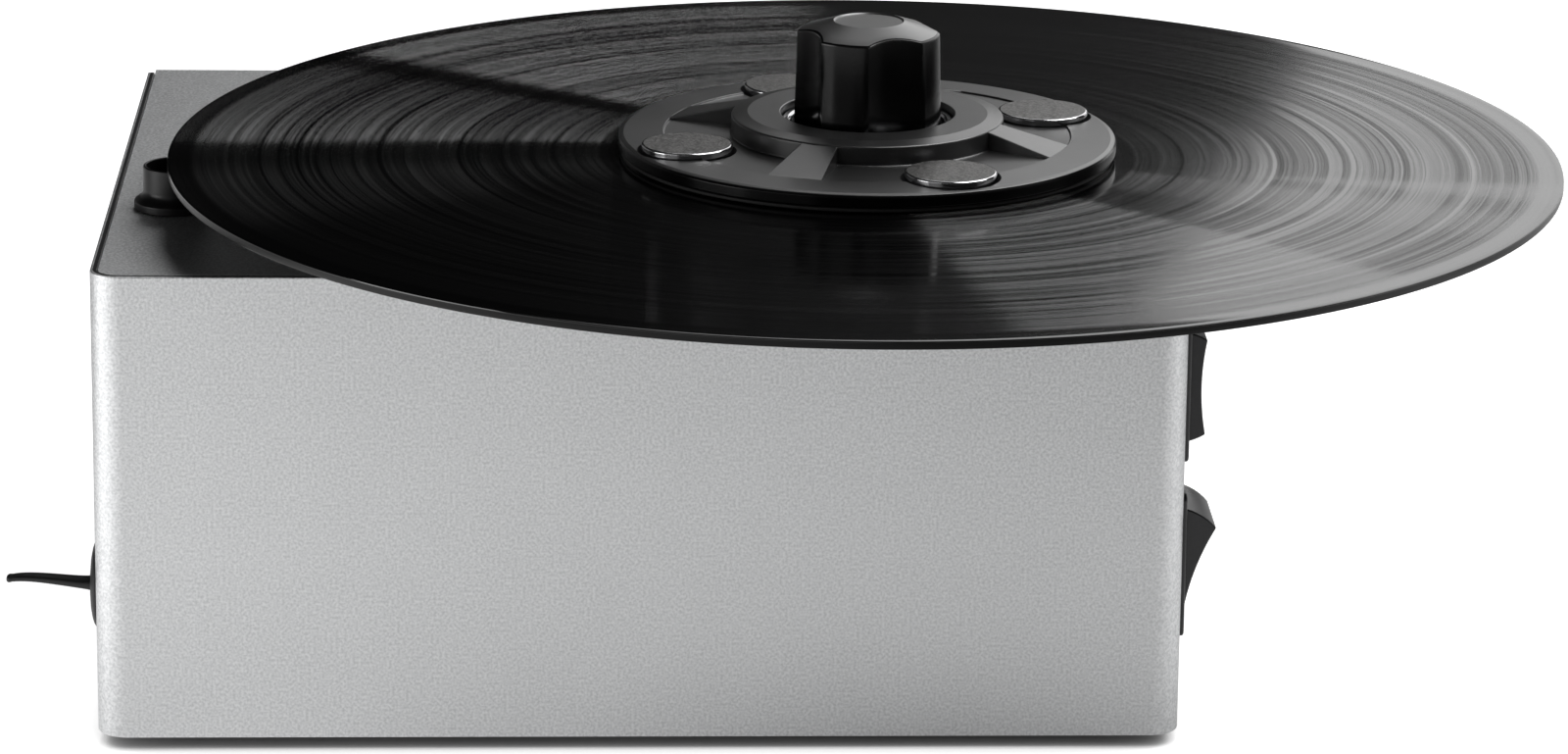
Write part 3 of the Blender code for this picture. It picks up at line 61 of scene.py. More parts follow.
# Casing coordinates are millimetres from the casing's front left corner and the floor
WRAP_LOW, WRAP_HIGH = solid_box("body_wrap")
ORIGIN = Vector((-WRAP_LOW[0], -WRAP_LOW[1], 0.0))


def middle(name):
    """Centre of one of the frame's solids, in casing millimetres to the hundredth."""
    low, high = solid_box(name)
    return tuple(round((a + b) / 2 + start, 2) for a, b, start in zip(low, high, ORIGIN))


# Places read from the frame
WIDTH = round(WRAP_HIGH[0] - WRAP_LOW[0], 3)
DEPTH = round(solid_box("deck_cover")[1][1] - WRAP_LOW[1], 3)
UNDERSIDE, DECK = WRAP_LOW[2], WRAP_HIGH[2]
SPINDLE = middle("spindle")[:2]
RECORD_TOP = solid_box("vinyl_record")[1][2]
HUB = (*SPINDLE, RECORD_TOP)
PLATTER_UNDER, MAT_UNDER = 106.7, 113.0
SOCKET = middle("arm_socket")[:2]
DRAIN = middle("drain_outlet")[1:]
SWITCH_Y = middle("lower_switch_body")[1]
SWITCHES = {side: middle(f"{side}_switch_body")[2] for side in ("lower", "upper")}
INLET = middle("power_inlet")[::2]

# The sheet, its seams and its bends
SHEET = 1.4
SKIN = 0.6
SEAM = 0.3
CORNER = 6.5
REAR_ROUND = 5
BACK_BEND = 4
FOOT_INSET = 24
VENT_X, VENT_Z = 82.1, 63

# The clamp, from the spindle and the record's top
QUARTERS = [radians(22 + 90 * k) for k in range(4)]
WEIGHT_CIRCLE = 42.4
RIM_INSIDE, HUB_RADIUS = 44.2, 29.5
RIB_LOW, RIB_HIGH = 4.6, 8.2

# The rockers: their face's ends, middle and half length, and how deep their back's centre lies
BEZEL = 1.0
PIVOT_X = WIDTH + SEAM + BEZEL
ROCKER_END, ROCKER_MIDDLE, ROCKER_HALF = 3.6, 2.6, 10.45
ROCKER_DEEP = 3.0
ROCKER_ROUND = hypot(ROCKER_END + ROCKER_DEEP, ROCKER_HALF)


def at(x, y, z=0.0):
    """Casing millimetres to the part's metres."""
    return (Vector((x, y, z)) - ORIGIN) * MM


# Meshes

def put(name, data):
    """A new object in the scene."""
    obj = bpy.data.objects.new(name, data)
    bpy.context.scene.collection.objects.link(obj)
    return obj


def shade(mesh, angle):
    """Shades smooth, but for edges sharper than an angle in degrees."""
    mesh.shade_smooth()
    mesh.set_sharp_from_angle(angle=radians(angle))


def mesh_piece(name, verts, faces, where=(0, 0, 0), slots=(), index=None, turn=None, smooth=35):
    """A mesh from millimetre points, placed at a point of the casing, in one material or several."""
    mesh = bpy.data.meshes.new(name)
    mesh.from_pydata([Vector(v) * MM for v in verts], [], faces)
    for slot in slots if isinstance(slots, tuple) else (slots,):
        mesh.materials.append(slot)
    if index:
        mesh.polygons.foreach_set("material_index", index)
    shape = bmesh.new()
    shape.from_mesh(mesh)
    bmesh.ops.remove_doubles(shape, verts=shape.verts, dist=1e-7)
    bmesh.ops.recalc_face_normals(shape, faces=shape.faces)
    shape.to_mesh(mesh)
    shape.free()
    shade(mesh, smooth)
    obj = put(name, mesh)
    obj.matrix_world = Matrix.Translation(at(*where)) @ (turn or Matrix())
    return obj


def soften(points, radii, steps=4, closed=False):
    """Rounds the corners of a polyline; radii is one number or one for each corner."""
    count = len(points)
    if not hasattr(radii, "__len__"):
        radii = [radii] * count
    out = []
    for i, point in enumerate(points):
        here = Vector(point)
        back = Vector(points[i - 1]) - here
        on = Vector(points[(i + 1) % count]) - here
        kept = not closed and i in (0, count - 1) or radii[i] <= 0
        if kept or back.angle(on) > radians(179):
            out.append(tuple(here))
            continue
        angle = back.angle(on)
        reach = min(radii[i] / tan(angle / 2), 0.48 * back.length, 0.48 * on.length)
        radius = reach * tan(angle / 2)
        back.normalize()
        on.normalize()
        centre = here + (back + on).normalized() * (radius / sin(angle / 2))
        start = here + back * reach - centre
        end = here + on * reach - centre
        sweep = start.angle(end)
        for k in range(steps + 1):
            share = k / steps
            if sweep < 1e-4:
                turned = start
            else:
                first, last = sin((1 - share) * sweep), sin(share * sweep)
                turned = (start * first + end * last) / sin(sweep)
            out.append(tuple(centre + turned))
    return out


def arc(cx, cy, radius, start, end, steps=10):
    """Points round a centre between two angles in degrees."""
    points = []
    for k in range(steps + 1):
        angle = radians(start + (end - start) * k / steps)
        points.append((cx + radius * cos(angle), cy + radius * sin(angle)))
    return points


def rounded(x0, y0, x1, y1, radius, steps=6):
    """A rectangle with round corners, counter-clockwise from the right."""
    left, right, low, high = x0 + radius, x1 - radius, y0 + radius, y1 - radius
    points = []
    for k, (x, y) in enumerate(((right, high), (left, high), (left, low), (right, low))):
        points += arc(x, y, radius, 90 * k, 90 * k + 90, steps)
    return points


def columns_piece(name, angles, columns, where, slots, index, turn=None, smooth=35):
    """Columns of (radius, z), one at each angle round local Z; they close unless they start on the axis."""
    verts, faces, marks = [], [], []
    rows, count = len(columns[0]), len(angles)
    on_axis = [r < 1e-6 for r, z in columns[0]]
    for angle, column in zip(angles, columns):
        c, s = cos(angle), sin(angle)
        verts += [(r * c, r * s, z) for r, z in column]
    for k in range(count):
        a, b = k * rows, (k + 1) % count * rows
        for i in range(rows - 1 if on_axis[0] else rows):
            j = (i + 1) % rows
            if on_axis[i]:
                face = (a + i, a + j, b + j)
            elif on_axis[j]:
                face = (a + i, a + j, b + i)
            else:
                face = (a + i, a + j, b + j, b + i)
            faces.append(face)
            marks.append(index[i] if index else 0)
    return mesh_piece(name, verts, faces, where, slots, marks, turn, smooth)


def lathe(name, profile, steps, where, slots, index=None, turn=None, smooth=35):
    """One profile of (radius, z) all the way round local Z."""
    angles = [tau * k / steps for k in range(steps)]
    return columns_piece(name, angles, [profile] * steps, where, slots, index, turn, smooth)


def inset(outline, amount):
    """Moves a closed counter-clockwise outline inwards."""
    out = []
    count = len(outline)
    for i in range(count):
        a, b, c = (Vector(outline[(i + k) % count]) for k in (-1, 0, 1))
        before, after = b - a, c - b
        if before.length < 1e-9 or after.length < 1e-9:
            before = after = c - a
        n1 = Vector((-before.y, before.x)).normalized()
        n2 = Vector((-after.y, after.x)).normalized()
        mean = n1 + n2
        if mean.length < 1e-6:
            mean = n1
        mean.normalize()
        out.append(tuple(b + mean * (amount / max(0.4, mean.dot(n1)))))
    return out


def rod(name, radius, low, high, where, slot, turn=None, steps=64):
    """A plain cylinder along local Z, to cut with."""
    return lathe(name, [(0, low), (radius, low), (radius, high), (0, high)], steps, where, slot, turn=turn)


def skin(rows, count):
    """Faces of a tube of rows of points, with both its ends."""
    faces = []
    for k in range(rows - 1):
        for i in range(count):
            j = (i + 1) % count
            faces.append((k * count + i, k * count + j, (k + 1) * count + j, (k + 1) * count + i))
    return faces + [tuple(reversed(range(count))), tuple(range((rows - 1) * count, rows * count))]


def slab(name, outline, z0, z1, edge, where, slots, turn=None, low_edge=None, smooth=35):
    """A prism on a counter-clockwise outline with round rims."""
    low_edge = edge if low_edge is None else low_edge
    angles = [radians(30 * k) for k in range(4)]
    rings = [(low_edge * (1 - sin(angle)), z0 + low_edge * (1 - cos(angle))) for angle in angles]
    rings += [(edge * (1 - cos(angle)), z1 - edge * (1 - sin(angle))) for angle in angles]
    verts = []
    for amount, z in rings:
        verts += [(x, y, z) for x, y in (inset(outline, amount) if amount else outline)]
    return mesh_piece(name, verts, skin(len(rings), len(outline)), where, slots, None, turn, smooth)


def box(name, low, high, slots, edge):
    """An upright box with round edges, between two corners of the casing."""
    size = Vector(high) - Vector(low)
    outline = rounded(0, 0, size.x, size.y, max(edge, 0.05), 3)
    return slab(name, outline, 0, size.z, edge, low, slots)


def settle(obj):
    """Applies an object's modifiers."""
    bpy.context.view_layer.update()
    graph = bpy.context.evaluated_depsgraph_get()
    mesh = bpy.data.meshes.new_from_object(obj.evaluated_get(graph))
    obj.modifiers.clear()
    obj.data = mesh


def boolean(obj, tools, operation="DIFFERENCE"):
    """Cuts or joins shapes, then drops them."""
    for tool in tools:
        step = obj.modifiers.new(tool.name, "BOOLEAN")
        step.operation = operation
        step.solver = "MANIFOLD"
        step.object = tool
    settle(obj)
    for tool in tools:
        bpy.data.objects.remove(tool, do_unlink=True)


def ease(obj, width):
    """Rounds the sharp edges a little."""
    sharp = 50
    step = obj.modifiers.new("edges", "BEVEL")
    step.width = width * MM
    step.segments = 2
    step.limit_method = "ANGLE"
    step.angle_limit = radians(sharp)
    settle(obj)
    shade(obj.data, sharp)


def turn_to(axis):
    """Lays local Z along a world axis."""
    return Vector((0, 0, 1)).rotation_difference(Vector(axis)).to_matrix().to_4x4()


# Local x, y, z to world Y, Z, X, to world X, Z, -Y and to world -X, Z, Y
ALONG_X = Matrix(((0, 0, 1, 0), (1, 0, 0, 0), (0, 1, 0, 0), (0, 0, 0, 1)))
ALONG_Y = Matrix(((1, 0, 0, 0), (0, 0, -1, 0), (0, 1, 0, 0), (0, 0, 0, 1)))
ALONG_BACK = Matrix(((-1, 0, 0, 0), (0, 0, 1, 0), (0, 1, 0, 0), (0, 0, 0, 1)))


def dress(obj, body, slot, *nodes):
    """Says what a piece rides on and hides the solids it stands for, once its flats shade flat; its slot is
    not used.
    """
    even = obj.modifiers.new("even", "WEIGHTED_NORMAL")
    even.keep_sharp = True
    settle(obj)
    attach(obj, body)
    if nodes:
        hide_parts(*nodes)
    return obj


# Materials

class Nodes:
    """Short ways to add nodes to a tree."""

    def __init__(self, tree):
        self.tree = tree

    def node(self, kind, inputs=None, **settings):
        made = self.tree.nodes.new(kind)
        for key, value in settings.items():
            setattr(made, key, value)
        for key, value in (inputs or {}).items():
            if isinstance(value, bpy.types.NodeSocket):
                self.tree.links.new(value, made.inputs[key])
            else:
                made.inputs[key].default_value = value
        return made

    def math(self, operation, *values):
        return self.node("ShaderNodeMath", dict(enumerate(values)), operation=operation).outputs[0]

    def times(self, a, b):
        return self.math("MULTIPLY", a, b)

    def remap(self, value, low, high, to_low, to_high, **settings):
        inputs = {0: value, 1: low, 2: high, 3: to_low, 4: to_high}
        return self.node("ShaderNodeMapRange", inputs, **settings).outputs[0]


class Look(Nodes):
    """A Principled material."""

    def __init__(self, name, colour, roughness, metallic=0.0, **sockets):
        self.material = bpy.data.materials.new(name)
        self.material.use_nodes = True
        super().__init__(self.material.node_tree)
        self.shader = self.tree.nodes["Principled BSDF"]
        self.set("Base Color", (*colour, 1))
        self.set("Roughness", roughness)
        self.set("Metallic", metallic)
        for key, value in sockets.items():
            self.set(key.replace("_", " "), value)
        self.object = self.node("ShaderNodeTexCoord").outputs["Object"]

    def set(self, socket, value):
        self.shader.inputs[socket].default_value = value

    def link(self, value, socket):
        self.tree.links.new(value, self.shader.inputs[socket])

    def vector(self, operation, *values):
        made = self.node("ShaderNodeVectorMath", dict(enumerate(values)), operation=operation)
        return made.outputs["Value" if operation == "LENGTH" else "Vector"]

    def noise(self, scale, detail=2.0, rough=0.5, vector=None, dims="3D"):
        inputs = {"Scale": scale, "Detail": detail, "Roughness": rough}
        if dims == "1D":
            inputs["W"] = vector
        else:
            inputs["Vector"] = vector or self.object
        return self.node("ShaderNodeTexNoise", inputs, noise_dimensions=dims).outputs["Fac"]

    def ramp(self, value, stops):
        """Grey levels between stops, each a place and a level."""
        made = self.node("ShaderNodeValToRGB", {"Fac": value})
        elements = made.color_ramp.elements
        while len(elements) < len(stops):
            elements.new(0.5)
        for element, (place, level) in zip(elements, stops):
            element.position = place
            element.color = (level, level, level, 1)
        return made.outputs["Color"]

    def mix(self, share, a, b):
        """Blends two colours, each a socket or three numbers."""
        low, high = (c if isinstance(c, bpy.types.NodeSocket) else (*c, 1) for c in (a, b))
        return self.node("ShaderNodeMix", {0: share, 6: low, 7: high}, data_type="RGBA").outputs[2]

    def total(self, *shares):
        """Sum of sockets, each given with its weight."""
        whole = None
        for value, weight in shares:
            part = self.times(value, weight)
            whole = part if whole is None else self.math("ADD", whole, part)
        return whole

    def rings(self, radius, rings, full, clear):
        """One inside each ring of a middle and a half width, fading out between two shares of that half."""
        level = None
        for middle_radius, half in rings:
            away = self.math("ABSOLUTE", self.math("SUBTRACT", radius, middle_radius))
            here = self.remap(away, half * full, half * clear, 1.0, 0.0)
            level = here if level is None else self.math("MAXIMUM", level, here)
        return level

    def bump(self, height, distance, strength):
        inputs = {"Height": height, "Distance": distance, "Strength": strength}
        self.link(self.node("ShaderNodeBump", inputs).outputs[0], "Normal")

    def paint(self, value, dark, light, low=0.3, high=0.7):
        """Base colour from dark to light while a value goes from low to high."""
        self.link(self.mix(self.remap(value, low, high, 0, 1), dark, light), "Base Color")

    def dull(self, value, least, most):
        """Roughness that follows a noise between two values."""
        self.link(self.remap(value, 0.3, 0.7, least, most), "Roughness")

    def radius(self):
        """Distance from the object's Z axis, in metres."""
        flat = self.vector("MULTIPLY", self.object, (1, 1, 0))
        return self.vector("LENGTH", flat)


def silver_look():
    """Satin anodised sheet with a fine blasted grain."""
    look = Look("satin_silver", (0.66, 0.67, 0.675), 0.45, 1.0)
    grain = look.noise(1700, 1.0, 0.5)
    cloud = look.remap(look.noise(60, 3.0, 0.55), 0.3, 0.7, -0.02, 0.02)
    tone = look.math("ADD", look.remap(grain, 0.3, 0.7, 0.14, 0.86), cloud)
    look.link(look.mix(tone, (0.50, 0.508, 0.515), (0.84, 0.845, 0.85)), "Base Color")
    look.dull(grain, 0.42, 0.5)
    look.bump(look.noise(1900, 3.0, 0.6), 0.00004, 0.5)
    return look.material


def plastic_look(name, colour, roughness, grain=900, depth=0.00004, strength=0.35, spread=0.25, **sockets):
    """Moulded or coated surface: a fine grain, and slow changes of tone and gloss."""
    look = Look(name, colour, roughness, **sockets)
    fine = look.noise(grain, 3.0, 0.6)
    slow = look.noise(55, 2.0, 0.5)
    dark = tuple(c * (1 - spread) for c in colour)
    light = tuple(min(1.0, c * (1 + spread)) for c in colour)
    look.paint(look.total((fine, 0.6), (slow, 0.4)), dark, light)
    look.dull(slow, roughness - 0.04, roughness + 0.05)
    look.bump(fine, depth, strength)
    return look.material


def core_look():
    """The black core that shows where the sheet is cut."""
    look = Look("sheet_core", (0.005, 0.005, 0.0052), 0.5, IOR=1.25)
    fine = look.noise(1500, 3.0, 0.6)
    look.paint(fine, (0.003, 0.003, 0.003), (0.009, 0.009, 0.0092))
    look.bump(fine, 0.00005, 0.4)
    return look.material


# Colour and refractive index of the pressed vinyl
VINYL_BLACK = (0.0008, 0.0008, 0.0009)
VINYL_IOR = 1.53
# Middle radius and half width in metres: the run-out, the gaps between tracks and the run-in
SMOOTH_RINGS = ((0.0560, 0.0022), (0.0885, 0.0004), (0.1055, 0.0005), (0.1160, 0.0002), (0.1312, 0.0002),
                (0.1483, 0.0031))
# Radius as a share of LOUD_REACH, and how much more groove wall a loud track has there
LOUD_REACH = 0.16
LOUD_TRACKS = ((0.0, 0.0), (0.55, 0.02), (0.556, 0.16), (0.655, 0.12), (0.662, 0.06), (0.73, 0.1),
               (0.75, 0.0), (0.82, 0.0), (0.84, 0.1), (0.91, 0.12))


def groove_wall(look, slope, lean):
    """A glossy layer that leans along the slope by the given amount."""
    amount = look.node("ShaderNodeCombineXYZ", {0: lean, 1: lean, 2: lean}).outputs[0]
    tilt = look.vector("MULTIPLY", slope, amount)
    face = look.node("ShaderNodeNewGeometry").outputs["Normal"]
    normal = look.vector("NORMALIZE", look.vector("ADD", face, tilt))
    inputs = {"Base Color": (*VINYL_BLACK, 1), "Roughness": 0.125, "IOR": VINYL_IOR, "Normal": normal}
    return look.node("ShaderNodeBsdfPrincipled", inputs).outputs[0]


def vinyl_look():
    """Pressed black vinyl. Between the smooth gaps its surface is part flat land and part groove
    walls that lean to and from the centre, so each of the three has its own glossy layer."""
    look = Look("vinyl", VINYL_BLACK, 0.1, IOR=VINYL_IOR)
    radius = look.radius()
    flat = look.vector("MULTIPLY", look.object, (1, 1, 0))
    outwards = look.vector("NORMALIZE", flat)
    spaces = {"vector_type": "VECTOR", "convert_from": "OBJECT", "convert_to": "WORLD"}
    slope = look.node("ShaderNodeVectorTransform", {"Vector": outwards}, **spaces).outputs[0]
    # Streaks that run round the record: far finer across than along
    around = look.vector("MULTIPLY", outwards, (0.7, 0.7, 0))
    streaks = []
    for across in (2600.0, 728.0):
        lift = look.node("ShaderNodeCombineXYZ", {"Z": look.times(radius, across)}).outputs[0]
        streaks.append(look.noise(1.0, 3.0, 0.65, look.vector("ADD", around, lift)))
    coarse = look.noise(330.0, 4.0, 0.65, radius, "1D")
    rings = look.total((streaks[0], 0.35), (coarse, 0.3), (streaks[1], 0.35))
    smooth = look.rings(radius, SMOOTH_RINGS, 0.8, 1.3)
    grooved = look.math("SUBTRACT", 1.0, look.times(smooth, 0.8))
    loud = look.ramp(look.times(radius, 1 / LOUD_REACH), LOUD_TRACKS)
    walls = look.math("ADD", look.remap(rings, 0.41, 0.59, 0.02, 0.54), loud)
    share = look.times(walls, grooved)
    dull = look.times(look.remap(coarse, 0.3, 0.7, 0.0, 0.07), grooved)
    look.link(look.math("ADD", dull, 0.07), "Roughness")
    wander = look.remap(look.noise(900.0, 2.0, 0.6, radius, "1D"), 0.3, 0.7, 0.96, 1.03)
    inner, outer = (groove_wall(look, slope, look.times(wander, side)) for side in (-1.0, 1.0))
    both = look.node("ShaderNodeMixShader", {0: 0.5, 1: inner, 2: outer}).outputs[0]
    whole = look.node("ShaderNodeMixShader", {0: share, 1: look.shader.outputs[0], 2: both}).outputs[0]
    look.tree.links.new(whole, look.tree.nodes["Material Output"].inputs["Surface"])
    return look.material


def label_look():
    """Plain paper label with two printed rings."""
    look = Look("label_paper", (0.5, 0.47, 0.4), 0.75)
    fibre = look.noise(1400, 4.0, 0.6)
    paper = look.mix(look.remap(fibre, 0.3, 0.7, 0, 1), (0.44, 0.41, 0.34), (0.58, 0.55, 0.47))
    line = look.rings(look.radius(), ((0.0478, 0.0004), (0.0165, 0.0004)), 1.0, 1.4)
    look.link(look.mix(line, paper, (0.06, 0.055, 0.05)), "Base Color")
    look.bump(fibre, 0.00003, 0.3)
    return look.material


def turned_metal(name, colour, roughness):
    """Lathe-turned metal with faint rings round its axis."""
    look = Look(name, colour, roughness, 1.0)
    lines = look.noise(3500, 2.0, 0.6, look.radius(), "1D")
    dark = tuple(c * 0.85 for c in colour)
    look.paint(lines, dark, colour)
    look.dull(look.noise(300, 3.0), roughness * 0.8, roughness * 1.25)
    look.bump(lines, 0.00002, 0.3)
    return look.material


def blasted_look():
    """Finely blasted top of the weights."""
    look = Look("blasted_steel", (0.42, 0.41, 0.4), 0.42, 1.0)
    grain = look.noise(1900, 3.0, 0.65)
    look.paint(grain, (0.012, 0.012, 0.012), (0.26, 0.256, 0.25), 0.35, 0.65)
    look.dull(grain, 0.3, 0.5)
    look.bump(grain, 0.00006, 0.6)
    return look.material


def chrome_look():
    look = Look("polished_chrome", (0.6, 0.6, 0.61), 0.12, 1.0)
    haze = look.noise(500, 3.0, 0.6)
    look.dull(haze, 0.08, 0.17)
    look.link(look.mix(haze, (0.52, 0.52, 0.53), (0.68, 0.68, 0.69)), "Base Color")
    return look.material


def sheet_metal(name, colour, roughness):
    """Zinc plated or drawn steel with long brush lines."""
    look = Look(name, colour, roughness, 1.0)
    stretched = look.vector("MULTIPLY", look.object, (60, 60, 1500))
    lines = look.noise(1.0, 3.0, 0.6, stretched)
    flakes = look.node("ShaderNodeTexVoronoi", {"Vector": look.object, "Scale": 180.0}).outputs["Distance"]
    dark = tuple(c * 0.8 for c in colour)
    light = tuple(min(1, c * 1.15) for c in colour)
    look.paint(look.total((lines, 0.6), (flakes, 0.5)), dark, light, 0.2, 0.8)
    look.dull(lines, roughness - 0.06, roughness + 0.08)
    look.bump(lines, 0.00002, 0.3)
    return look.material


def board_look():
    """Green solder mask with a faint grid of tracks."""
    look = Look("solder_mask", (0.02, 0.14, 0.06), 0.35)
    brick = look.node("ShaderNodeTexBrick", {
        "Vector": look.object, "Scale": 260.0, "Color1": (0.02, 0.16, 0.07, 1),
        "Color2": (0.015, 0.11, 0.05, 1), "Mortar": (0.05, 0.24, 0.11, 1)})
    look.link(brick.outputs["Color"], "Base Color")
    look.bump(brick.outputs["Fac"], 0.00003, 0.4)
    return look.material


SILVER = silver_look()
CORE = core_look()
VINYL = vinyl_look()
# The rim's faces: the same vinyl with a lower index, a less reflective copy that paints shade on the rim
SHADED_RIM = plastic_look("vinyl_rim_shaded", (0.001, 0.001, 0.001), 0.2, 1200, 0.00003, 0.3, IOR=1.3)
LABEL = label_look()
CHROME = chrome_look()
BLASTED = blasted_look()
CLAMP = plastic_look("satin_black_coat", (0.007, 0.007, 0.0072), 0.4, 1300, 0.00005, 0.4,
                     Coat_Weight=0.7, Coat_Roughness=0.28)
# The knob's black plastic in two copies: a darker, less reflective one for its sides and the clamp's side
# wall, which paints shade, and a lighter, glossier coated one for its top, which paints a highlight
SHADED_BLACK = plastic_look("knob_plastic_shaded", (0.001, 0.001, 0.0011), 0.2, 1500, 0.00003, 0.2, IOR=1.36)
LIT_KNOB_TOP = plastic_look("knob_top_lit", (0.006, 0.006, 0.0062), 0.36, 1500, 0.00004, 0.3,
                        IOR=1.6, Coat_Weight=1.0, Coat_Roughness=0.33)
SOCKET_BLACK = plastic_look("socket_plastic", (0.0025, 0.0025, 0.0027), 0.34, 1200, 0.00004, 0.3, IOR=1.4)
BLACK = plastic_look("switch_plastic", (0.018, 0.018, 0.02), 0.3, 1400, 0.00003, 0.25)
RUBBER = plastic_look("soft_rubber", (0.02, 0.02, 0.02), 0.62, 800, 0.00006, 0.4)
PLUG_RUBBER = plastic_look("plug_rubber", (0.014, 0.014, 0.0145), 0.5, 900, 0.00005, 0.4)
MAT_RUBBER = plastic_look("mat_rubber", (0.03, 0.03, 0.03), 0.7, 700, 0.00008, 0.5)
POWDER = plastic_look("powder_coat", (0.04, 0.04, 0.041), 0.55, 1000, 0.00006, 0.5)
WHITE_INK = plastic_look("white_ink", (0.75, 0.75, 0.74), 0.5, 1500, 0.00001, 0.1)
NYLON = plastic_look("nylon", (0.7, 0.69, 0.64), 0.5, 700, 0.00004, 0.3, spread=0.06)
TANK = plastic_look("tank_plastic", (0.74, 0.74, 0.71), 0.45, 500, 0.00005, 0.3, spread=0.05)
DARK_PLASTIC = plastic_look("blower_plastic", (0.06, 0.06, 0.063), 0.5, 900, 0.00005, 0.4)
STEEL = turned_metal("turned_steel", (0.56, 0.56, 0.57), 0.28)
BRASS = turned_metal("turned_brass", (0.62, 0.45, 0.2), 0.3)
PLATE = sheet_metal("zinc_plate", (0.45, 0.45, 0.46), 0.38)
CAN = sheet_metal("motor_can", (0.52, 0.52, 0.53), 0.3)
BOARD = board_look()


# Casing

def wrap_path():
    """Points and outward normals of the outer face, from the left rear round the front to the right rear."""
    rear = DEPTH - SHEET - SEAM
    side = [rear - REAR_ROUND * (1 - cos(radians(9 * k))) for k in range(11)] + [120, 40]
    points = [((0, y), (-1, 0)) for y in side]
    for cx, start in ((CORNER, 180), (WIDTH - CORNER, 270)):
        for k in range(21):
            angle = radians(start + 90 * k / 20)
            c, s = cos(angle), sin(angle)
            points.append(((cx + CORNER * c, CORNER + CORNER * s), (c, s)))
    points += [((WIDTH, y), (1, 0)) for y in reversed(side)]
    return points, rear


def casing_wrap():
    """The sheet bent round the two front corners; each point of its section is (inward, z)."""
    points, rear = wrap_path()
    low_outside = [(0.3, 0.0), (0.1, 0.08), (0.0, 0.3)]
    upper = [(0.0, -0.35), (0.08, -0.1), (0.28, 0.0), (SKIN, 0.0), (SHEET - 0.12, 0.0), (SHEET, -0.12)]
    low_inside = [(SHEET, 0.12), (SHEET - 0.12, 0.0)]
    section = [(inward, UNDERSIDE + z, 0) for inward, z in low_outside]
    section += [(inward, DECK + z, 1) for inward, z in upper]
    section += [(inward, UNDERSIDE + z, 0) for inward, z in low_inside]
    core_faces = {6, 7, 9, 10}
    verts = []
    for (x, y), (nx, ny) in points:
        over = max(0.0, y - (rear - REAR_ROUND))
        drop = REAR_ROUND - sqrt(max(0.0, REAR_ROUND ** 2 - over ** 2))
        for inward, z, falls in section:
            verts.append((x - nx * inward, y - ny * inward, z - drop * falls))
    index = [1 if i in core_faces else 0 for i in range(len(section))] * (len(points) - 1) + [1, 1]
    faces = skin(len(points), len(section))
    obj = mesh_piece("casing_wrap", verts, faces, (0, 0, 0), (SILVER, CORE), index)
    cutters = [rod("cut_drain", 7.1, -3, 4, (0, *DRAIN), CORE, turn_to((1, 0, 0)))]
    for side, z in SWITCHES.items():
        low, high = (WIDTH - 4, SWITCH_Y - 11, z - 14.5), (WIDTH + 2, SWITCH_Y + 11, z + 14.5)
        cutters.append(box("cut_" + side, low, high, CORE, 0.0))
    boolean(obj, cutters)
    shade(obj.data, 35)
    dress(obj, "casing", "casing_sheet", "body_wrap")


def casing_cover():
    """Deck and back in one sheet; below the deck's round the back is as wide as the casing."""
    left, right = SHEET + SEAM, WIDTH - SHEET - SEAM
    bend = (DEPTH - BACK_BEND, DECK - BACK_BEND)
    profile = [(left, DECK - SHEET), (left, DECK)] + arc(*bend, BACK_BEND, 90, 0, 16)
    profile += [(DEPTH, UNDERSIDE), (DEPTH - SHEET, UNDERSIDE)] + arc(*bend, BACK_BEND / 2, 0, 90, 12)
    profile.reverse()
    obj = slab("casing_cover", profile, 0, right - left, 0.0, (left, 0, 0), SILVER, ALONG_X)
    corner = 4.2
    plan = [(left, DEPTH + 1)] + arc(left + corner, left + corner, corner, 180, 270, 16)
    plan += arc(right - corner, left + corner, corner, 270, 360, 16) + [(right, DEPTH + 1)]
    boolean(obj, [slab("plan", plan, 2, DECK + 2, 0.0, (0, 0, 0), SILVER)], "INTERSECT")
    back = rounded(0, UNDERSIDE, WIDTH, DECK - REAR_ROUND - SEAM, 1.0, 4)
    boolean(obj, [slab("flange", back, 0, SHEET, 0.0, (0, DEPTH, 0), SILVER, ALONG_Y)], "UNION")
    half_wide, half_tall = 13.9, 17.3
    low = (INLET[0] - half_wide, DEPTH - 4, INLET[1] - half_tall)
    high = (INLET[0] + half_wide, DEPTH + 2, INLET[1] + half_tall)
    tools = [rod("cut_bearing", 9.3, 0, 6, (*SPINDLE, DECK - 4), CORE),
             rod("cut_socket", 7.7, 0, 6, (*SOCKET, DECK - 4), CORE),
             box("cut_inlet", low, high, CORE, 0.0)]
    vent = arc(0, -5.5, 1.5, 180, 360, 8) + arc(0, 5.5, 1.5, 0, 180, 8)
    for k in range(4):
        place = (VENT_X + 5 * k, DEPTH, VENT_Z)
        tools.append(slab(f"cut_slot_{k}", vent, -4, 4, 0.0, place, CORE, ALONG_Y))
    boolean(obj, tools)
    ease(obj, 0.22)
    core_edges(obj)
    dress(obj, "casing", "casing_sheet", "deck_cover")


def core_edges(obj):
    """The flange's cut side edges show the sheet's core."""
    mesh = obj.data
    while len(mesh.materials) < 2:
        mesh.materials.append(CORE)
    for face in mesh.polygons:
        x = face.center.x / MM + ORIGIN.x
        y = face.center.y / MM + ORIGIN.y
        if abs(face.normal.x) > 0.9 and y > DEPTH - SHEET and (x < 0.1 or x > WIDTH - 0.1):
            face.material_index = 1


def feet():
    profile = soften([(0, 0), (8.6, 0), (9.0, 0.6), (8.8, 2.7), (0, 2.7)], [0, 0.4, 0.5, 0.2, 0], 3)
    for end, y in (("front", FOOT_INSET), ("rear", DEPTH - FOOT_INSET)):
        for side, x in (("left", FOOT_INSET), ("right", WIDTH - FOOT_INSET)):
            foot = lathe(f"rubber_foot_{end}_{side}", profile, 64, (x, y, 0), RUBBER)
            dress(foot, "casing", "foot_rubber", f"foot_{end}_{side}")


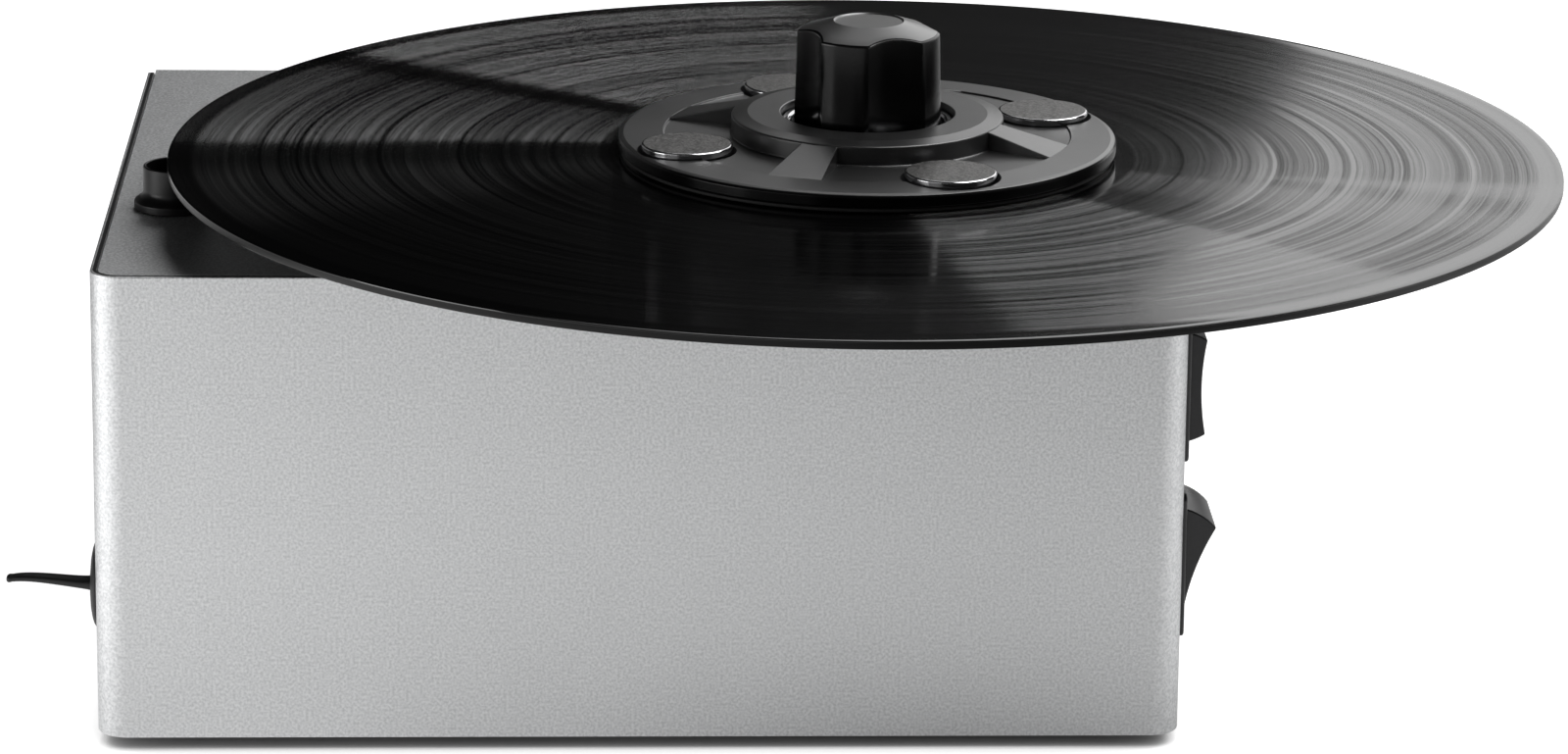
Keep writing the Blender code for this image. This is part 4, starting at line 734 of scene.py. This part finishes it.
def screws():
    """Cross-head screws at the corners of the back."""
    points = [(0, -7), (1.3, -7), (1.3, 0.3), (2.8, 0.3), (2.75, 1.0), (1.6, 1.65), (0, 1.75)]
    profile = soften(points, [0, 0, 0.1, 0.15, 0.4, 0.8, 0], 4)
    inwards, heights = 5.3, (19, 88)
    places = [(x, z) for z in heights for x in (inwards, WIDTH - inwards)]
    for k, (x, z) in enumerate(places):
        screw = lathe(f"back_screw_{k + 1}", profile, 48, (x, DEPTH, z), STEEL, turn=turn_to((0, 1, 0)))
        arms = []
        for wide, tall in ((0.45, 2.6), (2.6, 0.45)):
            low = (x - wide / 2, DEPTH + 1.0, z - tall / 2)
            arms.append(box("cut_cross", low, (x + wide / 2, DEPTH + 3, z + tall / 2), STEEL, 0.0))
        boolean(screw, arms)
        shade(screw.data, 35)
        dress(screw, "casing", "shaft_steel", f"rear_screw_{k + 1}")


# Record, platter and clamp

def record():
    """The disc has a thick rim and label land, with the grooved part a little lower."""
    top, low = 1.8, 1.72
    profile = [(3.62, 0.15), (3.75, 0.0), (50, 0), (54.5, 0.0), (150.4, 0.0), (150.68, 0.1), (150.75, 0.35)]
    profile += [(150.75, 1.45), (150.68, 1.7), (150.4, top), (149.2, top)]
    profile += [(r, low) for r in (145.8, 130, 105, 80, 57.5)]
    profile += [(54.5, 1.76), (51, top), (50, top), (3.75, top), (3.62, top - 0.15)]
    # The rim's faces take the less reflective copy of the vinyl: painted shade
    rim = [1 if r > 150.3 and z < 1.4 else 0 for r, z in profile]
    disc = lathe("record_disc", profile, 360, (*SPINDLE, RECORD_TOP - top), (VINYL, SHADED_RIM), rim, smooth=30)
    dress(disc, "record", "record_vinyl", "vinyl_record")
    profile = soften([(3.7, 0.3), (49.9, 0.3), (49.9, 0.48), (3.7, 0.48)], 0.05, 2, True)
    label = lathe("label_disc", profile, 180, HUB, LABEL)
    dress(label, "record", "label_paper", "record_label")


def platter():
    """Turntable disc, ribbed mat and the spindle with its pin."""
    points = [(4.3, -0.6), (12, -0.6), (12, 0), (51.2, 0), (52, 0.8), (52, 6.0), (4.3, 6.0)]
    profile = soften(points, [0.1, 0.2, 0.3, 0.5, 0.5, 0.4, 0.1], 4, True)
    disc = lathe("platter_disc", profile, 180, (*SPINDLE, PLATTER_UNDER), POWDER)
    dress(disc, "turntable", "platter_metal", "platter")
    thick, groove = 1.9, 1.6
    profile = [(4.3, 0.0), (51.0, 0.0), (51.0, 1.5), (50.6, thick)]
    for k in range(14):
        r = 48.5 - 3 * k
        profile += [(r + 0.9, thick), (r + 0.7, groove), (r, groove), (r - 0.2, thick)]
    profile += [(4.3, thick)]
    mat = lathe("mat_disc", profile, 180, (*SPINDLE, MAT_UNDER), MAT_RUBBER)
    dress(mat, "turntable", "mat_rubber", "platter_mat")
    points = [(0, 87.7), (4, 87.7), (4, 114.9), (3.3, 114.9), (3.3, 137.0), (2.3, 138.0), (0, 138.0)]
    profile = soften(points, [0, 0.3, 0.3, 0.1, 0.4, 0.6, 0], 4)
    pin = lathe("spindle_pin", profile, 64, (*SPINDLE, 0), STEEL)
    dress(pin, "turntable", "shaft_steel", "spindle")


def weight_places():
    """Centres of the four weights, seen from above."""
    x, y = SPINDLE
    return [(x + WEIGHT_CIRCLE * cos(angle), y + WEIGHT_CIRCLE * sin(angle)) for angle in QUARTERS]


def clamp_disc():
    """Dished disc with a raised hub, four ribs and a pocket for each weight."""
    dish = RIB_LOW - 0.4
    profile = [(3.6, 1.4), (54, 1.4), (54, 3.5), (53.7, 4.05), (52.8, 4.3), (RIM_INSIDE, RIB_LOW),
               (44.0, dish), (HUB_RADIUS, dish), (HUB_RADIUS, 8.4), (26, 9.0), (18.8, 9.0), (18.8, 3.0),
               (3.6, 3.0)]
    radii = [0.1, 0.25, 0.3, 0.3, 0.3, 0.15, 0.15, 0.35, 0.5, 0.8, 0.35, 0.3, 0.1]
    outline = soften(profile, radii, 4, True)
    # The side wall below the rim takes the darker knob plastic instead of the coat: painted shade
    side = [1 if r > 53.6 and z < 3.7 else 0 for r, z in outline]
    disc = lathe("clamp_body", outline, 240, HUB, (CLAMP, SHADED_BLACK), side)
    boolean(disc, [rib(angle + pi / 4) for angle in QUARTERS], "UNION")
    hole = [(0, 1.9), (10.55, 1.9), (10.55, 3.9), (10.8, 4.9), (0, 4.9)]
    boolean(disc, [lathe("cut_pocket", hole, 96, (x, y, RECORD_TOP), CLAMP) for x, y in weight_places()])
    shade(disc.data, 32)
    dress(disc, "clamp", "clamp_black", "clamp_disc")


def rib(turn):
    """A sloping wedge between two radial planes, its top edges eased."""
    half, slope = radians(8), (RIB_HIGH - RIB_LOW) / (RIM_INSIDE - HUB_RADIUS)
    edge, under = 0.3, 3.0
    verts = []
    stations = [HUB_RADIUS - 1.1, HUB_RADIUS, 33, 37, 41, RIM_INSIDE, RIM_INSIDE + 1]
    for r in stations:
        top = RIB_LOW + slope * (RIM_INSIDE - r)
        top = max(top, RIB_LOW + 0.02) if r <= RIM_INSIDE else RIB_LOW - 0.15
        back = edge / r
        side = [(half, under), (half, top - edge), (half - back * 0.3, top - edge * 0.3), (half - back, top)]
        for angle, z in [(-angle, z) for angle, z in side] + side[::-1]:
            verts.append((r * cos(turn + angle), r * sin(turn + angle), z))
    return mesh_piece("rib", verts, skin(len(stations), 2 * len(side)), HUB, CLAMP)


def weights():
    """Chrome discs with a blasted top inside a polished rim."""
    profile = soften([(0, 0), (9.8, 0), (9.8, 3.5), (0, 3.5)], [0, 0.2, 0.45, 0], 6)
    index = [0 if r > 9.4 or z < 1 else 1 for r, z in profile]
    for k, (x, y) in enumerate(weight_places()):
        where = (x, y, RECORD_TOP + 2.3)
        weight = lathe(f"chrome_weight_{k + 1}", profile, 96, where, (CHROME, BLASTED), index)
        dress(weight, "clamp", "weight_chrome", f"clamp_weight_{k + 1}")


def clamp_rings():
    """The seal under the disc's rim and the bushing in its bore."""
    profile = soften([(50.5, 0.3), (53.5, 0.3), (53.5, 1.1), (50.5, 1.1)], 0.25, 3, True)
    seal = lathe("seal_ring", profile, 180, HUB, RUBBER)
    dress(seal, "clamp", "clamp_seal_rubber", "clamp_seal")
    points = [(16.7, 3.3), (18.5, 3.3), (18.5, 7.5), (17.2, 7.5), (16.7, 7.0)]
    profile = soften(points, [0.1, 0.1, 0.4, 0.4, 0.3], 4, True)
    bushing = lathe("bushing_ring", profile, 128, HUB, CHROME)
    dress(bushing, "clamp", "weight_chrome", "clamp_bushing")


def knob():
    """Four concave flutes run from the base up through the chamfer."""
    base, top, cap = 16.0, 15.4, 7.6
    foot, shoulder, crown = 3.3, 26.8, 29.3
    hollow, flute = 16.0, 2.7
    reach = top - flute + hollow
    bore, bore_top = 3.6, 23.5

    def limit(angle):
        """How far out the flutes let the side go."""
        nearest = min(abs((angle - q + pi) % tau - pi) for q in QUARTERS)
        inside = hollow ** 2 - (reach * sin(nearest)) ** 2
        return reach * cos(nearest) - sqrt(inside) if inside > 0 else 99.0

    # Half a flute's width: where it leaves the round side, searched from 15 to 35 degrees
    edge = next(a for a in (radians(k / 100) for k in range(1500, 3500)) if limit(QUARTERS[0] + a) > top)
    spare = pi / 2 - 2 * edge
    angles = []
    for quarter in QUARTERS:
        angles += [quarter - edge + 2 * edge * k / 24 for k in range(24)]
        angles += [quarter + edge + spare * k / 16 for k in range(16)]
    slope = (crown - shoulder) / (top - cap)
    columns = []
    for angle in angles:
        cut = limit(angle)
        column = [(0, bore_top), (bore, bore_top), (bore, foot), (min(base, cut) - 0.4, foot)]
        for share in (0.0, 0.15, 0.4, 0.7, 0.95):
            z = foot + 0.3 + (shoulder - foot - 0.6) * share
            column.append((min(base + (top - base) * (z - foot) / (shoulder - foot), cut), z))
        side = min(top, cut)
        inner = side - 0.6
        z = shoulder + (top - side) * slope
        column[-1] = (side, z - 0.45)
        column += [(side - 0.06, z - 0.14), (side - 0.28, z), (inner, z + 0.6 * slope)]
        for share in (0.35, 0.7):
            r = inner + (cap + 0.35 - inner) * share
            column.append((r, crown - (r - cap) * slope))
        column += [(cap + 0.3, crown - 0.09), (cap, crown), (cap - 0.12, crown - 0.06)]
        column += [(cap - 0.35, crown - 0.3), (3.0, crown - 0.3), (0, crown - 0.3)]
        columns.append(column)
    # Sides in the darker copy, painted shade; chamfer and cap in the lighter coated copy, painted highlight
    index = [1 if i > 10 else 0 for i in range(len(column))]
    obj = columns_piece("knob_body", angles, columns, HUB, (SHADED_BLACK, LIT_KNOB_TOP), index, smooth=22)
    dress(obj, "knob", "knob_black", "clamp_knob")


# Deck and left side

def arm_socket():
    """Collar with a round lip, a flared foot and a stem through the deck."""
    profile = [(6.3, -3.9), (6.3, 9.2), (6.45, 9.5), (6.7, 9.6), (6.95, 9.5), (7.1, 9.25), (7.1, 4.3)]
    profile += arc(9.1, 4.3, 2.0, 190, 240, 5)
    profile += soften([(8.3, 2.45), (9.1, 1.9), (9.1, 0.3), (7.4, 0.3)], [0.2, 0.5, 0.15, 0], 4)
    profile += [(7.4, -9.0), (5.1, -9.0), (5.1, -3.9)]
    socket = lathe("socket_collar", profile, 96, (*SOCKET, DECK), SOCKET_BLACK, smooth=40)
    dress(socket, "casing", "socket_black", "arm_socket")


def drain():
    """Outlet ring in the left side, with the rubber plug and its pull tail."""
    profile = soften([(4.3, 0), (6.8, 0), (6.8, 4.7), (4.3, 4.7)], 0.2, 3, True)
    outlet = lathe("outlet_ring", profile, 64, (0, *DRAIN), TANK, turn=turn_to((1, 0, 0)))
    dress(outlet, "casing", "tank_plastic", "drain_outlet")
    shank = [(0, -6), (3.6, -6), (4.0, -5.2), (4.0, 0), (9.1, 0), (9.4, 0.3)]
    profile = soften(shank, [0, 0.3, 0.3, 0.1, 0.15, 0], 4)
    profile += [(9.25, 0.6), (8.8, 0.9), (7.9, 1.2), (6.4, 1.5), (4.4, 1.7), (2.2, 1.78), (0, 1.8)]
    turn = turn_to((-1, 0, 0))
    head = lathe("plug_head", profile, 96, (-SEAM, *DRAIN), PLUG_RUBBER, turn=turn, smooth=50)
    dress(head, "plug", "plug_rubber", "drain_plug")
    dress(plug_tail(), "plug", "plug_rubber", "drain_plug")


def plug_tail():
    """A flexible tongue that thins, rises a little and bends down to a small bead at its tip."""
    # How far out, how high, how wide and how thick
    stations = [(0.6, 0.0, 5.4, 3.0), (1.9, 0.0, 4.9, 2.4), (3.2, 0.12, 4.6, 2.15), (5.4, 0.35, 4.4, 1.95),
                (8.2, 0.7, 4.1, 1.8), (11, 1.02, 3.9, 1.65), (13.6, 1.26, 3.6, 1.5), (15.9, 1.34, 3.4, 1.4),
                (17.8, 1.24, 3.2, 1.3), (18.5, 1.12, 3.0, 1.2), (19.0, 1.08, 3.2, 1.5),
                (19.5, 1.02, 2.7, 1.2), (19.7, 1.0, 1.7, 0.7)]
    verts = []
    sides, squareness = 20, 0.55
    for reach, rise, wide, thick in stations:
        for k in range(sides):
            angle = tau * k / sides
            c, s = cos(angle), sin(angle)
            y = copysign(abs(c) ** squareness, c) * wide / 2
            z = copysign(abs(s) ** squareness, s) * thick / 2
            verts.append((-reach, y, rise + z))
    faces = skin(len(stations), sides)
    obj = mesh_piece("plug_pull", verts, faces, (-SEAM, *DRAIN), PLUG_RUBBER, smooth=60)
    step = obj.modifiers.new("smooth", "SUBSURF")
    step.levels = step.render_levels = 1
    settle(obj)
    obj.data.shade_smooth()
    return obj


# Right side

def rocker_outline(tilt):
    """A dished face on a round back, turned about the back's own centre."""
    corner = degrees(atan2(ROCKER_HALF, ROCKER_END + ROCKER_DEEP))
    outline = arc(-ROCKER_DEEP, 0, ROCKER_ROUND, corner, 360 - corner, 40)[1:-1]
    steps, tip = 24, 0.45
    shares = [2 * k / steps - 1 for k in range(steps + 1)]
    face = [(ROCKER_MIDDLE + (ROCKER_END - ROCKER_MIDDLE) * s * s, ROCKER_HALF * s) for s in shares]
    radii = [0.0] * len(outline) + [tip] + [0.0] * (steps - 1) + [tip]
    eased = soften(outline + face, radii, 4, True)
    c, s = cos(tilt), sin(tilt)
    return [((x + ROCKER_DEEP) * c - z * s - ROCKER_DEEP, (x + ROCKER_DEEP) * s + z * c) for x, z in eased]


def switch(side, body_name, tilt):
    """A bezel with a hollow body behind the side, and the rocker in it."""
    y, z = SWITCH_Y, SWITCHES[side]
    x = WIDTH + SEAM
    plate = rounded(-12.5, -16, 12.5, 16, 1.6, 6)
    bezel = slab(f"{side}_bezel", plate, 0, BEZEL, 0.45, (x, y, z), BLACK, ALONG_X, low_edge=0.1)
    core = box("core", (x - 18, y - 10.7, z - 14.2), (x + 0.6, y + 10.7, z + 14.2), BLACK, 0.3)
    boolean(bezel, [core], "UNION")
    hollow, half = ROCKER_ROUND + 1.3, 10.05
    centre = (PIVOT_X - ROCKER_DEEP, y, z)
    boolean(bezel, [rod("hollow", hollow, -half, half, centre, BLACK, turn_to((0, 1, 0)), 128)])
    ease(bezel, 0.15)
    dress(bezel, "casing", "switch_black", f"{side}_switch_body")
    outline, half, pivot = rocker_outline(-tilt), 9.75, (PIVOT_X, y, z)
    rocker = slab(f"{side}_rocker_cap", outline, -half, half, 0.35, pivot, BLACK, ALONG_Y, smooth=30)
    dress(rocker, body_name, "switch_black", f"{side}_rocker")
    marks(side, body_name, tilt, z)


def marks(side, body_name, tilt, z):
    """A bar at one end and a ring at the other, printed on the rocker's face."""
    deep = Matrix.Translation((ROCKER_DEEP * MM, 0, 0))
    turn = deep.inverted() @ Matrix.Rotation(tilt, 4, "Y") @ deep
    pivot, ink = (PIVOT_X, SWITCH_Y, z), WHITE_INK
    thick = 0.08
    bar = slab(f"{side}_mark_bar", rounded(-0.35, -1.9, 0.35, 1.9, 0.3, 3), 0, thick, 0.02, pivot, ink)
    profile = soften([(1.35, 0), (1.85, 0), (1.85, thick), (1.35, thick)], 0.02, 1, True)
    ring = lathe(f"{side}_mark_ring", profile, 48, pivot, ink)
    dish = ROCKER_END - ROCKER_MIDDLE
    for piece, share in ((bar, 0.6), (ring, -0.6)):
        lean = Matrix.Rotation(-atan2(2 * dish * share, ROCKER_HALF), 4, "Y")
        out = ROCKER_MIDDLE + dish * share * share + 0.02
        local = Matrix.Translation(Vector((out, 0, ROCKER_HALF * share)) * MM)
        piece.matrix_world = Matrix.Translation(at(*pivot)) @ turn @ local @ lean @ ALONG_X
        dress(piece, body_name, "switch_black")


# Back

def power_inlet():
    """Three-pin inlet over a fuse drawer, in one plate."""
    x, z = INLET
    thick = 2.5
    face = DEPTH + SEAM + thick
    plate = rounded(-15.5, -19, 15.5, 19, 2.0, 6)
    body = slab("inlet_body", plate, 0, thick, 0.5, (x, DEPTH + SEAM, z), BLACK, ALONG_BACK, low_edge=0.1)
    core = box("core", (x - 13.6, face - 24.5, z - 17), (x + 13.6, face - 1.2, z + 17), BLACK, 0.5)
    boolean(body, [core], "UNION")
    # The recess has two cut corners at its top
    w, h, c = 12.2, 8.3, 4.5
    recess = soften([(-w, -h), (w, -h), (w, h - c), (w - c, h), (c - w, h), (-w, h - c)], 1.0, 4, True)
    pins = z + 6.8
    opening = slab("recess", recess, -1, 17.5, 0.0, (x, face, pins), BLACK, ALONG_Y)
    fuse_z, fuse_half, play = z - 11.2, 4.25, 0.3
    low = (x - 10 - play, face - 16 - play, fuse_z - fuse_half - play)
    drawer = box("drawer", low, (x + 10 + play, face + 1, fuse_z + fuse_half + play), BLACK, 0.0)
    boolean(body, [opening, drawer])
    ease(body, 0.15)
    dress(body, "casing", "switch_black", "power_inlet")
    for k, (column, rise) in enumerate(((-1, -2), (0, 2), (1, -2))):
        cx, cz = x + 7 * column, pins + rise
        low, high = (cx - 1, face - 17.6, cz - 2.1), (cx + 1, face - 5, cz + 2.1)
        dress(box(f"inlet_blade_{k + 1}", low, high, STEEL, 0.4), "casing", "shaft_steel")
    low, high = (x - 10, face - 16, fuse_z - fuse_half), (x + 10, face + 1.2, fuse_z + fuse_half)
    fuse = box("fuse_front", low, high, BLACK, 0.4)
    notch = box("notch", (x - 3, face + 0.5, fuse_z - 5), (x + 3, face + 2, fuse_z - 2.6), BLACK, 0.0)
    boolean(fuse, [notch])
    ease(fuse, 0.12)
    dress(fuse, "fuse_holder", "switch_black", "fuse_drawer")


def inner_pieces():
    """The hidden pieces keep their solids and get worked materials."""
    looks = {
        PLATE: ["base_plate", "post_front_left", "post_front_right", "post_rear_left", "post_rear_right",
                "bearing_nut", "motor_bracket", "socket_nut"],
        BRASS: ["spindle_bearing", "motor_pinion"],
        NYLON: ["drive_gear", "impeller"] + [f"board_spacer_{k}" for k in range(1, 5)],
        CAN: ["platter_motor", "blower_motor"],
        TANK: ["suction_pipe", "waste_tank", "tank_lid"],
        RUBBER: ["vacuum_hose", "motor_cradle"],
        DARK_PLASTIC: ["blower_housing", "exhaust_duct", "power_module"],
        BOARD: ["control_board"],
    }
    for look, names in looks.items():
        for name in names:
            mesh = frame["nodes"][name].data
            mesh.materials.clear()
            mesh.materials.append(look)


# Studio

def camera():
    """A lens shifted down and aside, which keeps the casing's upright edges nearly parallel."""
    eye = at(102.133, -1232.75, 439.848)
    yaw, pitch, roll = radians(3.547), radians(15.297), radians(-1.058)
    data = bpy.data.cameras.new("camera")
    data.sensor_width = 36
    data.lens = 140.72
    data.shift_x, data.shift_y = -0.1043, -0.0567
    data.clip_start = 0.05
    forward = Vector((sin(yaw) * cos(pitch), cos(yaw) * cos(pitch), -sin(pitch)))
    right = Vector((cos(yaw), -sin(yaw), 0))
    down = forward.cross(right)
    across = right * cos(roll) + down * sin(roll)
    below = down * cos(roll) - right * sin(roll)
    obj = put("camera", data)
    turn = Matrix((across, -below, -forward)).transposed().to_4x4()
    obj.matrix_world = Matrix.Translation(eye) @ turn
    bpy.context.scene.camera = obj


def floor():
    """White ground. The camera sees it lit evenly and dark only close under the object, and glossy
    surfaces see a pool of light on it."""
    mesh = bpy.data.meshes.new("floor")
    mesh.from_pydata([(-12, -12, 0), (12, -12, 0), (12, 12, 0), (-12, 12, 0)], [], [(0, 1, 2, 3)])
    obj = put("floor", mesh)
    look = Look("floor_white", (0.4, 0.4, 0.4), 0.9)
    look.set("Specular IOR Level", 0.0)
    look.set("Emission Color", (1, 1, 1, 1))
    near = look.node("ShaderNodeAmbientOcclusion", {"Distance": 0.028}).outputs["AO"]
    lit = look.math("MINIMUM", 1.0, look.times(2.7, look.math("POWER", near, 1.75)))
    rays = look.node("ShaderNodeLightPath").outputs
    mirrored = look.times(rays["Is Glossy Ray"], floor_pool(look))
    seen = look.math("MAXIMUM", rays["Is Camera Ray"], mirrored)
    seen = look.math("MAXIMUM", seen, rays["Is Transmission Ray"])
    look.link(look.times(seen, lit), "Emission Strength")
    mesh.materials.append(look.material)


def floor_pool(look):
    """What the silver sides mirror: a pool of light on the left, and the record's shade close in front."""
    x, y, _ = look.node("ShaderNodeSeparateXYZ", {0: look.object}).outputs
    stops = ((0.19, 1.0), (0.27, 0.69), (0.35, 0.67), (0.475, 0.58), (0.55, 0.47), (0.6, 0.37), (0.65, 0.38),
             (0.81, 0.6))
    pool = look.ramp(look.remap(x, -0.4, 0.4, 0.0, 1.0), stops)
    far = look.remap(y, -0.42, -0.2, look.remap(x, -0.1, 0.1, 0.66, 0.2), 1.0)
    behind = look.times(look.remap(y, -0.02, 0.12, 1.32, 0.3), far)
    aside = look.math("ABSOLUTE", look.math("SUBTRACT", x, 0.02))
    near = look.remap(y, -0.12, -0.06, 0.0, 0.42)
    dark = look.times(look.remap(aside, 0.02, 0.12, 1.0, 0.0), near)
    return look.times(look.times(pool, behind), look.math("SUBTRACT", 1.0, dark))


def panel(name, where, towards, size, strength, along=(1, 0, 0)):
    """A soft box: a flat lamp that faces a point, with its width along a direction."""
    data = bpy.data.lights.new(name, "AREA")
    data.shape = "RECTANGLE"
    data.size, data.size_y = size
    data.energy = strength * size[0] * size[1] * pi
    obj = put(name, data)
    place = Vector(where)
    back = (place - Vector(towards)).normalized()
    up = back.cross(Vector(along)).normalized()
    obj.matrix_world = Matrix.Translation(place) @ Matrix((up.cross(back), up, back)).transposed().to_4x4()
    obj.visible_camera = False


def world():
    """A dim room: lighter overhead and in front, with a faint glow behind, on the left only low down."""
    scene = bpy.context.scene
    sky = bpy.data.worlds.new("studio")
    scene.world = sky
    sky.use_nodes = True
    nodes = Nodes(sky.node_tree)
    where = nodes.node("ShaderNodeTexCoord").outputs["Generated"]
    x, y, z = nodes.node("ShaderNodeSeparateXYZ", {0: where}).outputs

    def span(*values):
        return nodes.remap(*values, interpolation_type="SMOOTHSTEP")

    general = nodes.math("ADD", span(y, -0.2, 0.5, 0.03, 0.004), span(z, 0.3, 0.8, 0.0, 0.02))
    right = nodes.times(span(x, -0.01, 0.06, 0.0, 0.035), span(y, 0.6, 0.8, 0.0, 1.0))
    left = nodes.times(span(x, -0.45, -0.3, 0.14, 0.0), span(z, 0.3, 0.45, 1.0, 0.0))
    left = nodes.times(left, span(y, 0.2, 0.4, 0.0, 1.0))
    back = sky.node_tree.nodes["Background"]
    back.inputs["Color"].default_value = (1, 1, 1, 1)
    total = nodes.math("ADD", general, nodes.math("ADD", right, left))
    sky.node_tree.links.new(total, back.inputs["Strength"])
    scene.view_settings.view_transform = "Standard"


def rear_screen():
    """A lit screen behind on the right. Its slanted left edge and its lower edge show in the record."""
    corners = [(0.505, 0.335), (2.2, 0.843), (2.2, 2.4), (-0.23, 2.4), (-0.23, 1.5)]
    behind = 2.0
    mesh = bpy.data.meshes.new("rear_screen")
    mesh.from_pydata([(x, behind, z) for x, z in corners], [], [tuple(range(len(corners)))])
    obj = put("rear_screen", mesh)
    obj.visible_camera = False
    look = Look("screen_white", (0, 0, 0), 1.0)
    look.set("Specular IOR Level", 0.0)
    look.set("Emission Color", (1, 1, 1, 1))
    look.set("Emission Strength", 1.5)
    mesh.materials.append(look.material)


def lights():
    """Soft boxes: the key above on the right, the others lower round the object."""
    panel("key", (0.772, 0.097, 1.371), (0.0, 0.0, 0.117), (1.4, 0.85), 7.2, along=(0.525, 0.747, -0.41))
    panel("left_side", (-1.15, -0.38, 0.17), (-0.15, -0.05, 0.08), (0.6, 0.3), 4.2)
    panel("front_left", (-1.0, -1.1, 0.55), (0.0, 0.0, 0.05), (0.9, 0.7), 0.5)
    panel("right_side", (1.6, -0.2, 0.5), (0.0, 0.0, 0.05), (1.0, 0.9), 0.22)
    panel("right_rear", (0.9, 1.0, 0.15), (0.08, 0.0, 0.05), (0.5, 0.25), 1.5)


casing_wrap()
casing_cover()
feet()
screws()
record()
platter()
clamp_disc()
weights()
clamp_rings()
knob()
arm_socket()
drain()
switch("lower", "power_rocker", radians(19))
switch("upper", "direction_rocker", 0.0)
power_inlet()
inner_pieces()
camera()
floor()
world()
rear_screen()
lights()
